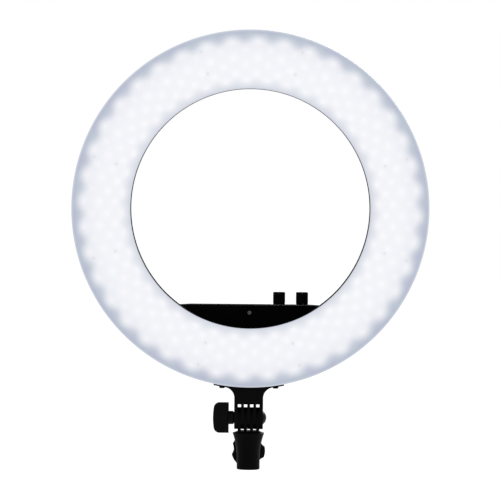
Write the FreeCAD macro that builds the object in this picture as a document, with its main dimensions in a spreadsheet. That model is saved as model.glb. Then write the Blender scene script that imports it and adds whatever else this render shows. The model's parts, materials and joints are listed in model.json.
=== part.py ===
import FreeCAD, Part
import math
import os
import Sketcher

# LED ring light on a tilting stand adapter. Millimetres, Z up, the light faces -Y.
# The origin is the centre of the stand socket's mouth.

SIZES = {
    # Ring: outline, depth and the two shells that close it
    "ring_radius": 240.0,
    "ring_band": 79.2,
    "ring_depth": 35.0,
    "ring_front": 21.5,
    "cover_wall": 2.0,
    "skirt_wall": 1.6,
    "skirt_depth": 8.0,
    "front_round": 2.5,
    "seam_gap": 0.2,
    "tongue_wall": 1.5,
    "tongue_reach": 3.0,
    "housing_wall": 2.0,
    "rear_round": 3.0,
    # Pillars that join the shells, and their screws
    "outer_pillar_inset": 7.2,
    "inner_pillar_inset": 5.0,
    "cover_pillar_radius": 2.6,
    "housing_pillar_radius": 3.4,
    "pillar_meet": 23.5,
    "cover_screw_head": 2.5,
    "cover_screw_tall": 1.9,
    "cover_screw_radius": 1.3,
    "cover_screw_bite": 7.0,
    "screw_recess": 4.0,
    # Air slots in the rear of the ring
    "vent_inner_inset": 17.2,
    "vent_outer_inset": 14.0,
    "vent_width": 2.4,
    # LED boards on their heat plate
    "board_inner_inset": 9.0,
    "board_outer_inset": 13.8,
    "board_thick": 1.6,
    "board_split": 0.8,
    "heat_plate_thick": 1.5,
    "heat_plate_inset": 11.4,
    "heat_plate_back": 27.0,
    "first_row_inset": 1.7,
    "last_row_inset": 2.7,
    "led_across": 2.8,
    "led_along": 3.5,
    "led_height": 1.2,
    "inner_post_inset": 19.7,
    "outer_post_inset": 5.8,
    "post_radius": 3.4,
    "board_screw_head": 2.75,
    "board_screw_tall": 1.8,
    "board_screw_radius": 1.45,
    "board_screw_length": 8.0,
    "link_wide": 5.0,
    "link_tall": 1.0,
    "link_long": 8.0,
    # Control box behind the bottom of the ring
    "box_rise": 30.0,
    "box_half": 112.0,
    "box_shoulder": 32.0,
    "box_fall": 2.0,
    "box_inset": 8.0,
    "box_wall": 2.5,
    "box_depth": 34.0,
    "box_cover_thick": 3.0,
    "box_corner": 12.0,
    "box_foot_corner": 8.0,
    "box_edge": 1.5,
    "box_post_radius": 3.5,
    "box_screw_length": 11.0,
    "box_screw_inset": 9.0,
    "box_screw_high": 12.2,
    "box_screw_foot": 10.2,
    "box_screw_low_across": 33.6,
    "mount_screw_head": 3.5,
    "mount_screw_tall": 2.2,
    "mount_screw_radius": 1.95,
    "mount_screw_length": 9.0,
    "mount_high_inset": 27.0,
    "mount_high_drop": 34.2,
    "mount_low_across": 30.0,
    # Lead from the box to the boards
    "lead_radius": 2.0,
    "lead_hole": 6.0,
    "lead_drop": 29.2,
    "lead_rise": 12.0,
    "plug_half": 6.0,
    "low_plug_reach": 4.0,
    "low_plug_half": 4.0,
    "high_plug_deep": 5.0,
    "high_plug_tall": 6.0,
    # Control board
    "panel_half": 70.0,
    "panel_tall": 45.0,
    "panel_drop": 6.2,
    "panel_stand": 6.0,
    "panel_screw_side": 8.0,
    "panel_screw_edge": 6.0,
    "panel_screw_length": 7.0,
    "front_screw_drop": 10.3,
    "front_screw_length": 7.0,
    "coil_across": 35.0,
    "coil_pitch": 18.0,
    "coil_below": 8.0,
    "coil_radius": 7.0,
    "coil_tall": 8.0,
    "capacitor_across": 44.0,
    "capacitor_pitch": 12.0,
    "capacitor_above": 8.0,
    "capacitor_radius": 4.0,
    "capacitor_tall": 12.0,
    "chip_across": 31.0,
    "chip_pitch": 16.0,
    "chip_below": 9.0,
    "chip_side": 10.0,
    "chip_tall": 2.0,
    "sink_across": 34.0,
    "sink_above": 6.0,
    "sink_long": 28.0,
    "sink_tall": 9.0,
    "sink_wide": 6.0,
    # Display
    "display_drop": 30.0,
    "window_half": 28.0,
    "window_tall": 28.0,
    "window_thick": 1.4,
    "module_margin": 3.0,
    "module_thick": 4.0,
    "glass_margin": 1.0,
    # Clearances: of a piece in its opening, of a screw in its hole, of a pressed piece, of a shaft
    "fit_gap": 0.15,
    "thread_gap": 0.075,
    "press_gap": 0.05,
    "running_gap": 0.1,
    # Dials on top of the box
    "dial_behind": 19.0,
    "dial_inset": 9.0,
    "dial_pitch": 31.0,
    "dial_radius": 8.2,
    "dial_height": 16.8,
    "dial_gap": 0.5,
    "dial_foot_inset": 0.3,
    "dial_foot_tall": 1.4,
    "dial_foot_slope": 0.5,
    "dial_crown": 2.25,
    "dial_round": 1.0,
    "dial_notch": 1.3,
    "dial_notch_deep": 0.9,
    "flute_radius": 0.5,
    "flute_out": 0.25,
    "flute_low": 3.0,
    "flute_high": 2.4,
    "control_half": 7.0,
    "control_half_deep": 6.0,
    "control_tall": 6.5,
    "bush_radius": 3.5,
    "bush_rise": 4.0,
    "shaft_radius": 3.0,
    "shaft_neck": 2.5,
    "shaft_sunk": 2.7,
    "nut_half": 5.0,
    "nut_thick": 2.0,
    "nut_room": 0.5,
    # Switch and power inlet, low on the rear cover
    "socket_rise": 27.0,
    "switch_across": 20.0,
    "inlet_across": 20.0,
    "rocker_half": 7.0,
    "rocker_tall": 8.6,
    "rocker_rest": 8.0,
    "rocker_rise": 2.2,
    "rocker_dish": 1.5,
    "rocker_skirt": 2.5,
    "rocker_heel_half": 2.0,
    "rocker_heel_drop": 4.6,
    "rocker_pin_radius": 1.0,
    "rocker_pin_reach": 1.0,
    "rocker_end_gap": 0.6,
    "rocker_side_gap": 0.3,
    "switch_wall": 1.6,
    "switch_rim": 1.3,
    "switch_rim_thick": 2.0,
    "switch_deep": 14.0,
    "switch_well": 7.0,
    "inlet_radius": 5.0,
    "inlet_bore": 3.2,
    "inlet_flange": 1.2,
    "inlet_deep": 12.0,
    "inlet_rise": 3.0,
    "inlet_well": 7.0,
    "inlet_pin_radius": 1.0,
    "inlet_pin_rise": 1.0,
    "inlet_nut_wall": 2.6,
    "inlet_nut_thick": 2.0,
    # Battery plates on the rear cover
    "plate_inset": 36.0,
    "plate_drop": 38.2,
    "plate_half": 20.0,
    "plate_tall": 60.0,
    "plate_thick": 3.0,
    "plate_screw_side": 6.0,
    "plate_screw_end": 12.0,
    "plate_screw_head": 2.3,
    "plate_screw_tall": 1.2,
    "plate_screw_length": 5.6,
    "rail_length": 50.0,
    "rail_wall": 2.0,
    "rail_rise": 4.4,
    "rail_lip": 1.4,
    "block_half": 9.0,
    "block_tall": 8.0,
    "block_rise": 4.0,
    "blade_pitch": 5.0,
    "blade_wide": 1.0,
    "blade_long": 4.0,
    "blade_tall": 2.4,
    "blade_up": 0.6,
    "latch_half": 4.6,
    "latch_travel": 2.2,
    "latch_gap": 0.4,
    "tongue_up": 10.0,
    "tongue_half": 3.7,
    "thumb_down": 6.0,
    "thumb_half": 3.5,
    "carrier_wall": 1.6,
    "carrier_thick": 2.0,
    # Bracket under the ring, with the upper half of the tilt knuckle
    "tilt_height": 69.6,
    "neck_length": 41.9,
    "neck_half": 19.4,
    "saddle_half": 47.4,
    "saddle_wall": 2.2,
    "saddle_depth": 26.0,
    "seat_gap": 0.1,
    "neck_round": 14.8,
    "knuckle_radius": 15.4,
    "finger_pitch": 8.27,
    "slot_width": 4.5,
    "slot_above": 18.8,
    "neck_shoulder": 22.9,
    "knuckle_bevel": 0.7,
    "saddle_screw_across": 36.0,
    "saddle_screw_apart": 14.0,
    "saddle_screw_head": 3.6,
    "saddle_screw_tall": 1.5,
    "saddle_screw_radius": 1.95,
    "saddle_screw_length": 10.0,
    "saddle_boss_drop": 0.3,
    "saddle_boss_wall": 0.5,
    "saddle_boss_tall": 1.8,
    "backing_thick": 2.2,
    "backing_depth": 18.0,
    # Tilt clamp
    "bolt_radius": 4.0,
    "bolt_head_radius": 9.0,
    "bolt_head_height": 4.6,
    "bolt_square": 8.0,
    "bolt_square_length": 3.6,
    "bolt_reach": 36.0,
    "bolt_gap": 0.15,
    "bolt_room": 4.0,
    "thread_bevel": 0.8,
    "washer_radius": 8.8,
    "washer_thick": 1.7,
    "washer_bevel": 1.4,
    "handle_stem_radius": 9.0,
    "handle_stem": 5.6,
    "handle_across": 21.3,
    "handle_bulge": 2.4,
    "handle_tall": 40.8,
    "handle_thick": 14.0,
    "handle_corner": 8.0,
    "handle_round": 2.0,
    "insert_radius": 6.0,
    "insert_length": 12.0,
    # Stand socket with the lower half of the tilt knuckle
    "lower_finger": 4.3,
    "lower_finger_radius": 14.1,
    "rim_below": 17.6,
    "rim_radius": 21.4,
    "rim_wall": 2.7,
    "flare_start": 16.3,
    "socket_radius": 15.5,
    "socket_round": 1.5,
    "spigot_bore": 8.2,
    "bore_depth": 40.0,
    # Stand lock
    "lock_height": 23.1,
    "lock_boss_radius": 9.0,
    "lock_boss_reach": 18.5,
    "lock_insert_radius": 5.5,
    "lock_insert_length": 7.4,
    "pad_thick": 2.2,
    "star_radius": 22.8,
    "star_dent": 3.0,
    "star_dent_radius": 14.0,
    "star_thick": 16.0,
    "star_stem": 1.5,
    "star_gap": 1.2,
    "star_crown": 4.0,
    "star_round": 2.0,
}

doc = FreeCAD.newDocument("led_ring_light")
sheet = doc.addObject("Spreadsheet::Sheet", "Sizes")
for row, (alias, number) in enumerate(SIZES.items(), 1):
    sheet.set(f"A{row}", alias)
    sheet.set(f"B{row}", str(number))
    sheet.setAlias(f"B{row}", alias)
doc.recompute()


class Size:
    """A number and the formula that binds it to the sheet."""

    def __init__(self, number, formula):
        self.number = float(number)
        self.formula = formula

    def __float__(self):
        return self.number

    def __add__(self, other):
        return joined(self, "+", other, float(self) + float(other))

    def __radd__(self, other):
        return joined(other, "+", self, float(self) + float(other))

    def __sub__(self, other):
        return joined(self, "-", other, float(self) - float(other))

    def __rsub__(self, other):
        return joined(other, "-", self, float(other) - float(self))

    def __mul__(self, other):
        return joined(self, "*", other, float(self) * float(other))

    def __rmul__(self, other):
        return joined(other, "*", self, float(self) * float(other))

    def __truediv__(self, other):
        return joined(self, "/", other, float(self) / float(other))

    def __neg__(self):
        return joined(0.0, "-", self, -float(self))


def formula_of(amount):
    if isinstance(amount, Size):
        return amount.formula
    return f"({float(amount):.9f})"


def joined(left, sign, right, number):
    return Size(number, f"({formula_of(left)} {sign} {formula_of(right)})")


def root(amount):
    return Size(math.sqrt(float(amount)), f"sqrt({formula_of(amount)})")


class Names:
    """Every size of the sheet, by its name."""

    def __init__(self, names):
        for name in names:
            setattr(self, name, Size(sheet.get(name), "Sizes." + name))


size = Names(SIZES)
Vector = FreeCAD.Vector
ALONG_Y = Vector(0, 1, 0)
ALONG_Z = Vector(0, 0, 1)
# Sketches on the XZ plane look along +Y, so their own depth runs the other way
PLANE_SIDE = {"XY_Plane": 1, "XZ_Plane": -1, "YZ_Plane": 1}
BOARD_COUNT = 4
BOARD_TURN = 360.0 / BOARD_COUNT
ROW_COUNT = 6
LEDS_IN_ROW = 40
PILLAR_COUNT = 8
POST_TURN = 27.0
LOBE_COUNT = 5
LOBE_TURN = -5.0
FLUTE_COUNT = 24
VENT_TURNS = (-6.0, -3.0, 0.0, 3.0, 6.0)
VENT_GROUPS = 5
# The corner of a hexagon lies this much further out than the middle of its side
HEX_CORNER = 2 / math.sqrt(3)
# Shares of a screw's own head and shank: rounded rim, cross recess, bevelled point
HEAD_ROUND = 0.4
RECESS_DEPTH = 0.6
RECESS_WIDTH = 0.3
POINT_BEVEL = 0.3
# How far a cut runs past its face, and how far a boss runs into the piece that it grows from
OVERRUN = 1.0
ROOTED = 0.5

# Places worked out from the sizes
hole_radius = size.ring_radius - size.ring_band
ring_height = size.tilt_height + size.neck_length + size.ring_radius
front = -size.ring_front
seam = front + size.skirt_depth
rear = size.ring_depth - size.ring_front
box_top = size.box_rise - hole_radius
box_radius = size.ring_radius - size.box_inset
box_flat = size.box_half - size.box_shoulder
box_front = rear + size.box_wall
box_back = rear + size.box_depth
box_rear = box_back + size.box_cover_thick
heat_back = front + size.heat_plate_back
heat_front = heat_back - size.heat_plate_thick
board_front = heat_front - size.board_thick
pillar_meet = front + size.pillar_meet
outer_pillar = size.ring_radius - size.outer_pillar_inset
inner_pillar = hole_radius + size.inner_pillar_inset
housing_inside = size.ring_radius - size.skirt_wall - size.seam_gap - size.tongue_wall
board_inner = hole_radius + size.board_inner_inset
board_outer = size.ring_radius - size.board_outer_inset
heat_plate_outer = size.ring_radius - size.heat_plate_inset
first_row = board_inner + size.first_row_inset
row_pitch = (board_outer - size.last_row_inset - first_row) / (ROW_COUNT - 1)
post_circles = (board_inner + size.inner_post_inset, board_outer - size.outer_post_inset)
socket_up = size.socket_rise - box_radius
front_screw_up = box_top - size.front_screw_drop
dial_back = rear + size.dial_behind
plate_across = size.box_half - size.plate_inset
plate_up = box_top - size.plate_drop
lead_up = -(hole_radius + size.lead_drop)
panel_level = box_front + size.panel_stand


def bind(item, name, amount):
    item.setExpression(name, formula_of(amount))


def new_body(name, x=0.0, y=0.0, z=0.0):
    """A body whose own origin is placed at x, y, z."""
    body = doc.addObject("PartDesign::Body", name)
    body.Label = name
    for letter, amount in (("x", x), ("y", y), ("z", z)):
        bind(body, "Placement.Base." + letter, amount)
    return body


def ring_body(name, x=0.0, y=0.0, z=0.0):
    """A body placed from the centre of the ring."""
    return new_body(name, x, y, ring_height + z)


def origin_part(body, role):
    return next(item for item in body.Origin.OriginFeatures if item.Role == role)


def new_sketch(body, plane, level=0.0):
    """A sketch on one of the body's own planes, moved along its axis to the level."""
    sketch = body.newObject("Sketcher::SketchObject", "sketch")
    sketch.AttachmentSupport = [(origin_part(body, plane), "")]
    sketch.MapMode = "FlatFace"
    bind(sketch, "AttachmentOffset.Base.z", level * PLANE_SIDE[plane])
    return sketch


def fix(sketch, kind, amount, *ends):
    """Hold one measure of the sketch to its formula."""
    number = sketch.addConstraint(Sketcher.Constraint(kind, *ends, float(amount)))
    sketch.setExpression(f"Constraints[{number}]", formula_of(amount))


def arc_between(start, end, centre, rising):
    """The arc from start to end about the centre; rising means that it runs counterclockwise."""
    first, last = (start, end) if rising else (end, start)
    angles = [math.atan2(spot.y - centre.y, spot.x - centre.x) for spot in (first, last)]
    if angles[1] <= angles[0]:
        angles[1] += 2 * math.pi
    return Part.ArcOfCircle(Part.Circle(centre, ALONG_Z, (start - centre).Length), *angles)


def add_outline(sketch, corners, bends=None):
    """Draw a closed outline. bends maps an edge's number to its (across, up, rising) centre."""
    bends = bends or {}
    spots = [Vector(float(across), float(up), 0) for across, up in corners]
    count = len(spots)
    first = sketch.GeometryCount
    starts = []
    for index, spot in enumerate(spots):
        after = spots[(index + 1) % count]
        if index in bends:
            across, up, rising = bends[index]
            centre = Vector(float(across), float(up), 0)
            sketch.addGeometry(arc_between(spot, after, centre, rising), False)
            starts.append(1 if rising else 2)
        else:
            sketch.addGeometry(Part.LineSegment(spot, after), False)
            starts.append(1)
    for index in range(count):
        after = (index + 1) % count
        ends = (first + index, 3 - starts[index], first + after, starts[after])
        sketch.addConstraint(Sketcher.Constraint("Coincident", *ends))
    for index, (across, up) in enumerate(corners):
        fix(sketch, "DistanceX", across, -1, 1, first + index, starts[index])
        fix(sketch, "DistanceY", up, -1, 1, first + index, starts[index])
    for index, (across, up, rising) in bends.items():
        chord = spots[(index + 1) % count] - spots[index]
        if abs(chord.x) > abs(chord.y):
            fix(sketch, "DistanceY", up, -1, 1, first + index, 3)
        else:
            fix(sketch, "DistanceX", across, -1, 1, first + index, 3)


def add_box(sketch, across, up, half_across, half_up):
    """Draw a rectangle about its middle."""
    left, right = across - half_across, across + half_across
    low, high = up - half_up, up + half_up
    add_outline(sketch, [(left, low), (right, low), (right, high), (left, high)])


def add_circle(sketch, across, up, radius):
    circle = Part.Circle(Vector(float(across), float(up), 0), ALONG_Z, float(radius))
    index = sketch.addGeometry(circle, False)
    fix(sketch, "DistanceX", across, -1, 1, index, 3)
    fix(sketch, "DistanceY", up, -1, 1, index, 3)
    fix(sketch, "Radius", radius, index)


def plane_side(sketch):
    return PLANE_SIDE[sketch.AttachmentSupport[0][0].Role]


def pad(body, sketch, length, rising=True, both=False):
    """Add the sketch's outline; rising means towards the axis's positive end."""
    feature = body.newObject("PartDesign::Pad", "pad")
    feature.Profile = sketch
    bind(feature, "Length", length)
    feature.Reversed = rising != (plane_side(sketch) > 0)
    if both:
        feature.SideType = "Symmetric"
    return feature


def pocket(body, sketch, length, rising=True):
    """Cut the sketch's outline away, towards the axis's positive end if rising."""
    feature = body.newObject("PartDesign::Pocket", "pocket")
    feature.Profile = sketch
    bind(feature, "Length", length)
    feature.Reversed = rising == (plane_side(sketch) > 0)
    return feature


def revolve(body, sketch, axis="V_Axis", angle=360.0, both=False):
    feature = body.newObject("PartDesign::Revolution", "revolution")
    feature.Profile = sketch
    feature.ReferenceAxis = (sketch, [axis])
    bind(feature, "Angle", angle)
    feature.Midplane = both
    return feature


def soften(body, kind, amount, *tests):
    """Round (Fillet) or bevel (Chamfer) the edges that one of the tests picks."""
    doc.recompute()
    base = body.Tip
    picked = [f"Edge{number}" for number, edge in enumerate(base.Shape.Edges, 1)
              if not edge.Degenerated and any(test(edge) for test in tests)]
    feature = body.newObject("PartDesign::" + kind, kind.lower())
    feature.Base = (base, picked)
    bind(feature, "Radius" if kind == "Fillet" else "Size", amount)
    return feature


def repeat_round(body, features, axis, count, angle=360.0):
    pattern = body.newObject("PartDesign::PolarPattern", "pattern")
    pattern.Originals = features
    pattern.Axis = (origin_part(body, axis), [""])
    bind(pattern, "Angle", angle)
    pattern.Occurrences = count
    body.Tip = pattern
    return pattern


def near(one, other):
    return abs(float(one) - float(other)) < 0.02


def circle_at(letter, radius, level):
    """Picks round edges of this radius whose centre is at this level of the axis."""
    def test(edge):
        curve = edge.Curve
        return (isinstance(curve, Part.Circle) and near(curve.Radius, radius)
                and near(getattr(curve.Center, letter), level))
    return test


def line_at(letter, *spots):
    """Picks straight edges along an axis at these (first, second) places of the other two axes."""
    others = [other for other in "xyz" if other != letter]

    def test(edge):
        if not isinstance(edge.Curve, Part.Line):
            return False
        if abs(getattr(edge.Curve.Direction, letter)) < 0.999:
            return False
        middle = edge.BoundBox.Center
        return any(near(getattr(middle, others[0]), first) and near(getattr(middle, others[1]), second)
                   for first, second in spots)
    return test


def level_edges(letter, level):
    """Picks every edge that lies flat at this level of the axis."""
    def test(edge):
        box = edge.BoundBox
        low = getattr(box, letter.upper() + "Min")
        high = getattr(box, letter.upper() + "Max")
        return near(low, level) and near(high, level)
    return test


def polar(radius, degrees):
    """The (across, up) place at this radius and angle, seen from the front."""
    angle = math.radians(degrees)
    return radius * math.cos(angle), radius * math.sin(angle)


def pan_screw(*measures):
    """A pan-head screw from its head's radius and height, and its shank's radius and length.
    Its seat is at the origin, and its head points up and has a cross recess."""
    head_radius, head_height, shank_radius, length = (float(measure) for measure in measures)
    head = Part.makeCylinder(head_radius, head_height)
    top = [edge for edge in head.Edges if level_edges("z", head_height)(edge)]
    head = head.makeFillet(HEAD_ROUND * head_height, top)
    depth = RECESS_DEPTH * head_height
    width = RECESS_WIDTH * head_radius
    for long_side, short_side in ((head_radius, width), (width, head_radius)):
        corner = Vector(-long_side / 2, -short_side / 2, head_height - depth)
        head = head.cut(Part.makeBox(long_side, short_side, depth, corner))
    shank = Part.makeCylinder(shank_radius, length, Vector(0, 0, -length))
    point = [edge for edge in shank.Edges if level_edges("z", -length)(edge)]
    return head.fuse(shank.makeChamfer(POINT_BEVEL * shank_radius, point)).removeSplitter()


def moved(shape, x, y, z, direction=ALONG_Z):
    """A copy of the shape with its own up turned to the direction and its origin at the place."""
    copy = shape.copy()
    place = Vector(float(x), float(y), float(z))
    copy.Placement = FreeCAD.Placement(place, FreeCAD.Rotation(ALONG_Z, direction))
    return copy


def add_group(name, shapes, height=ring_height):
    """One node of separate equal solids, placed from the ring's centre unless a height is given."""
    feature = doc.addObject("Part::Feature", name)
    feature.Label = name
    feature.Shape = Part.makeCompound(shapes)
    bind(feature, "Placement.Base.z", height)
    return feature


# Ring


def make_diffuser_cover():
    """The white front: a flat annulus with short skirts and sixteen pillars for the screws."""
    body = ring_body("diffuser_cover")
    inside = front + size.cover_wall
    inner = hole_radius + size.skirt_wall
    outer = size.ring_radius - size.skirt_wall
    sketch = new_sketch(body, "XY_Plane")
    add_outline(sketch, [
        (hole_radius, front), (size.ring_radius, front), (size.ring_radius, seam),
        (outer, seam), (outer, inside), (inner, inside), (inner, seam), (hole_radius, seam)])
    revolve(body, sketch)
    soften(body, "Fillet", size.front_round, circle_at("y", size.ring_radius, front),
           circle_at("y", hole_radius, front))
    pillars = new_sketch(body, "XZ_Plane", inside)
    holes = new_sketch(body, "XZ_Plane", pillar_meet)
    for radius in (outer_pillar, inner_pillar):
        place = polar(radius, 180.0 / PILLAR_COUNT)
        add_circle(pillars, *place, size.cover_pillar_radius)
        add_circle(holes, *place, size.cover_screw_radius + size.thread_gap)
    features = [pad(body, pillars, pillar_meet - inside),
                pocket(body, holes, size.cover_screw_bite + OVERRUN, False)]
    repeat_round(body, features, "Y_Axis", PILLAR_COUNT)


def post_places():
    """The places of one board's screws: two on each circle, mirrored about the board's middle."""
    places = []
    for radius in post_circles:
        places += [polar(radius, BOARD_TURN / 2 - POST_TURN), polar(radius, BOARD_TURN / 2 + POST_TURN)]
    return places


def box_mount_places():
    """Where the control box is screwed to the ring, from the ring's centre."""
    high = box_top - size.mount_high_drop
    across = size.box_half - size.mount_high_inset
    low_across = size.mount_low_across
    return [(across, high), (-across, high), (low_across, socket_up), (-low_across, socket_up)]


def saddle_screw_places():
    """The (across, back) places of the screws that go up through the saddle."""
    back = size.saddle_screw_apart / 2
    return [(across * size.saddle_screw_across, side * back) for across in (1, -1) for side in (1, -1)]


def make_rear_housing():
    """The black tray that closes the ring from behind, with its posts, pillars and air slots."""
    body = ring_body("rear_housing")
    floor = rear - size.housing_wall
    lip = seam + size.seam_gap
    tongue = size.ring_radius - size.skirt_wall - size.seam_gap
    tongue_end = seam - size.tongue_reach
    inner = hole_radius + size.housing_wall
    sketch = new_sketch(body, "XY_Plane")
    add_outline(sketch, [
        (hole_radius, rear), (size.ring_radius, rear), (size.ring_radius, lip), (tongue, lip),
        (tongue, tongue_end), (housing_inside, tongue_end), (housing_inside, floor),
        (inner, floor), (inner, lip), (hole_radius, lip)])
    revolve(body, sketch)
    soften(body, "Fillet", size.rear_round, circle_at("y", size.ring_radius, rear))

    posts = new_sketch(body, "XZ_Plane", floor)
    pilots = new_sketch(body, "XZ_Plane", heat_back)
    for place in post_places():
        add_circle(posts, *place, size.post_radius)
        add_circle(pilots, *place, size.board_screw_radius + size.thread_gap)
    pilot_depth = board_front + size.board_screw_length + size.fit_gap - heat_back
    features = [pad(body, posts, floor - heat_back, False), pocket(body, pilots, pilot_depth)]
    repeat_round(body, features, "Y_Axis", BOARD_COUNT)

    pillars = new_sketch(body, "XZ_Plane", floor)
    recesses = new_sketch(body, "XZ_Plane", rear)
    holes = new_sketch(body, "XZ_Plane", rear)
    for radius in (outer_pillar, inner_pillar):
        place = polar(radius, 180.0 / PILLAR_COUNT)
        add_circle(pillars, *place, size.housing_pillar_radius)
        add_circle(recesses, *place, size.cover_screw_head + size.fit_gap)
        add_circle(holes, *place, size.cover_screw_radius + size.fit_gap)
    features = [pad(body, pillars, floor - pillar_meet, False),
                pocket(body, recesses, size.screw_recess, False),
                pocket(body, holes, rear - pillar_meet + size.seam_gap, False)]
    repeat_round(body, features, "Y_Axis", PILLAR_COUNT)

    slots = new_sketch(body, "XZ_Plane", rear)
    for degrees in VENT_TURNS:
        add_outline(slots, slot_corners(degrees))
    repeat_round(body, [pocket(body, slots, size.housing_wall, False)], "Y_Axis", VENT_GROUPS, 180.0)

    bosses = new_sketch(body, "XZ_Plane", floor)
    threads = new_sketch(body, "XZ_Plane", rear)
    for place in box_mount_places():
        add_circle(bosses, *place, 2 * size.mount_screw_radius)
        add_circle(threads, *place, size.mount_screw_radius + size.thread_gap)
    add_circle(threads, 0.0, lead_up, size.lead_hole)
    pad(body, bosses, floor - heat_back - size.seam_gap, False)
    pocket(body, threads, rear - heat_back, False)

    screws = new_sketch(body, "XY_Plane", -size.ring_radius)
    for across, back in saddle_screw_places():
        add_circle(screws, across, back, size.saddle_screw_radius + size.fit_gap)
    pocket(body, screws, size.saddle_screw_length)


def slot_corners(degrees):
    """The four corners of an air slot that points away from the ring's axis."""
    angle = math.radians(degrees)
    corners = []
    inner = hole_radius + size.vent_inner_inset
    outer = size.ring_radius - size.vent_outer_inset
    for radius, side in ((inner, -0.5), (outer, -0.5), (outer, 0.5), (inner, 0.5)):
        offset = size.vent_width * side
        corners.append((radius * math.cos(angle) - offset * math.sin(angle),
                        radius * math.sin(angle) + offset * math.cos(angle)))
    return corners


def make_heat_plate():
    """The aluminium annulus that carries the boards and spreads their heat."""
    body = ring_body("heat_plate")
    disc = new_sketch(body, "XZ_Plane", heat_front)
    add_circle(disc, 0.0, 0.0, heat_plate_outer)
    add_circle(disc, 0.0, 0.0, board_inner)
    pad(body, disc, size.heat_plate_thick)
    holes = new_sketch(body, "XZ_Plane", heat_front)
    for place in post_places():
        add_circle(holes, *place, size.board_screw_radius + size.fit_gap)
    repeat_round(body, [pocket(body, holes, size.heat_plate_thick)], "Y_Axis", BOARD_COUNT)


def make_led_board(name, quarter):
    """A quarter of the LED annulus, a little short of 90 degrees."""
    body = ring_body(name)
    middle = (quarter + 0.5) * BOARD_TURN
    body.Placement.Rotation = FreeCAD.Rotation(ALONG_Y, -middle)
    sketch = new_sketch(body, "XY_Plane")
    add_outline(sketch, [(board_inner, board_front), (board_outer, board_front),
                         (board_outer, heat_front), (board_inner, heat_front)])
    revolve(body, sketch, angle=BOARD_TURN - size.board_split, both=True)
    holes = new_sketch(body, "XZ_Plane", board_front)
    for radius in post_circles:
        for degrees in (-POST_TURN, POST_TURN):
            add_circle(holes, *polar(radius, degrees), size.board_screw_radius + size.fit_gap)
    pocket(body, holes, size.board_thick)


def make_led_emitters():
    """Six rows of LEDs; every other row is turned by half a pitch."""
    pitch = 360.0 / LEDS_IN_ROW
    across, along, height = float(size.led_across), float(size.led_along), float(size.led_height)
    top = float(board_front) - height
    shapes = []
    for row in range(ROW_COUNT):
        radius = float(first_row) + row * float(row_pitch)
        first_angle = pitch / 4 if row % 2 == 0 else 3 * pitch / 4
        for place in range(LEDS_IN_ROW):
            chip = Part.makeBox(across, height, along, Vector(radius - across / 2, top, -along / 2))
            chip.rotate(Vector(0, 0, 0), ALONG_Y, -(first_angle + place * pitch))
            shapes.append(chip)
    add_group("led_emitters", shapes)


def make_board_links():
    """Small plug links that carry the current over the seams between the boards."""
    middle = float(first_row + row_pitch * (ROW_COUNT - 1) / 2)
    wide, tall, long = float(size.link_wide), float(size.link_tall), float(size.link_long)
    shapes = []
    for quarter in range(BOARD_COUNT):
        corner = Vector(middle - wide / 2, float(board_front) - tall, -long / 2)
        link = Part.makeBox(wide, tall, long, corner)
        link.rotate(Vector(0, 0, 0), ALONG_Y, BOARD_TURN * quarter)
        shapes.append(link)
    add_group("board_links", shapes)


def make_ring_screws():
    """The screws of the boards, and those that join the two shells of the ring."""
    board_screw = pan_screw(size.board_screw_head, size.board_screw_tall, size.board_screw_radius,
                            size.board_screw_length)
    shapes = []
    for radius in post_circles:
        for quarter in range(BOARD_COUNT):
            for side in (-POST_TURN, POST_TURN):
                across, up = polar(radius, (quarter + 0.5) * BOARD_TURN + side)
                shapes.append(moved(board_screw, across, board_front, up, -ALONG_Y))
    add_group("board_screws", shapes)

    seat = rear - size.screw_recess
    length = seat - pillar_meet + size.cover_screw_bite
    cover_screw = pan_screw(size.cover_screw_head, size.cover_screw_tall, size.cover_screw_radius, length)
    shapes = []
    for radius in (outer_pillar, inner_pillar):
        for number in range(PILLAR_COUNT):
            across, up = polar(radius, (number + 0.5) * 360.0 / PILLAR_COUNT)
            shapes.append(moved(cover_screw, across, seat, up, ALONG_Y))
    add_group("cover_screws", shapes)


def make_reinforcing_plate():
    """The curved steel plate inside the ring that the saddle screws pull against."""
    body = ring_body("reinforcing_plate")
    outer = housing_inside - size.seam_gap
    inner = outer - size.backing_thick
    half = size.saddle_half
    low = -root(outer * outer - half * half)
    high = -root(inner * inner - half * half)
    sketch = new_sketch(body, "XZ_Plane")
    add_outline(sketch, [(-half, low), (half, low), (half, high), (-half, high)],
                {0: (0.0, 0.0, True), 2: (0.0, 0.0, False)})
    pad(body, sketch, size.backing_depth, both=True)
    holes = new_sketch(body, "XY_Plane", -size.ring_radius)
    for across, back in saddle_screw_places():
        add_circle(holes, across, back, size.saddle_screw_radius + size.thread_gap)
    pocket(body, holes, size.saddle_screw_length + OVERRUN)


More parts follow.
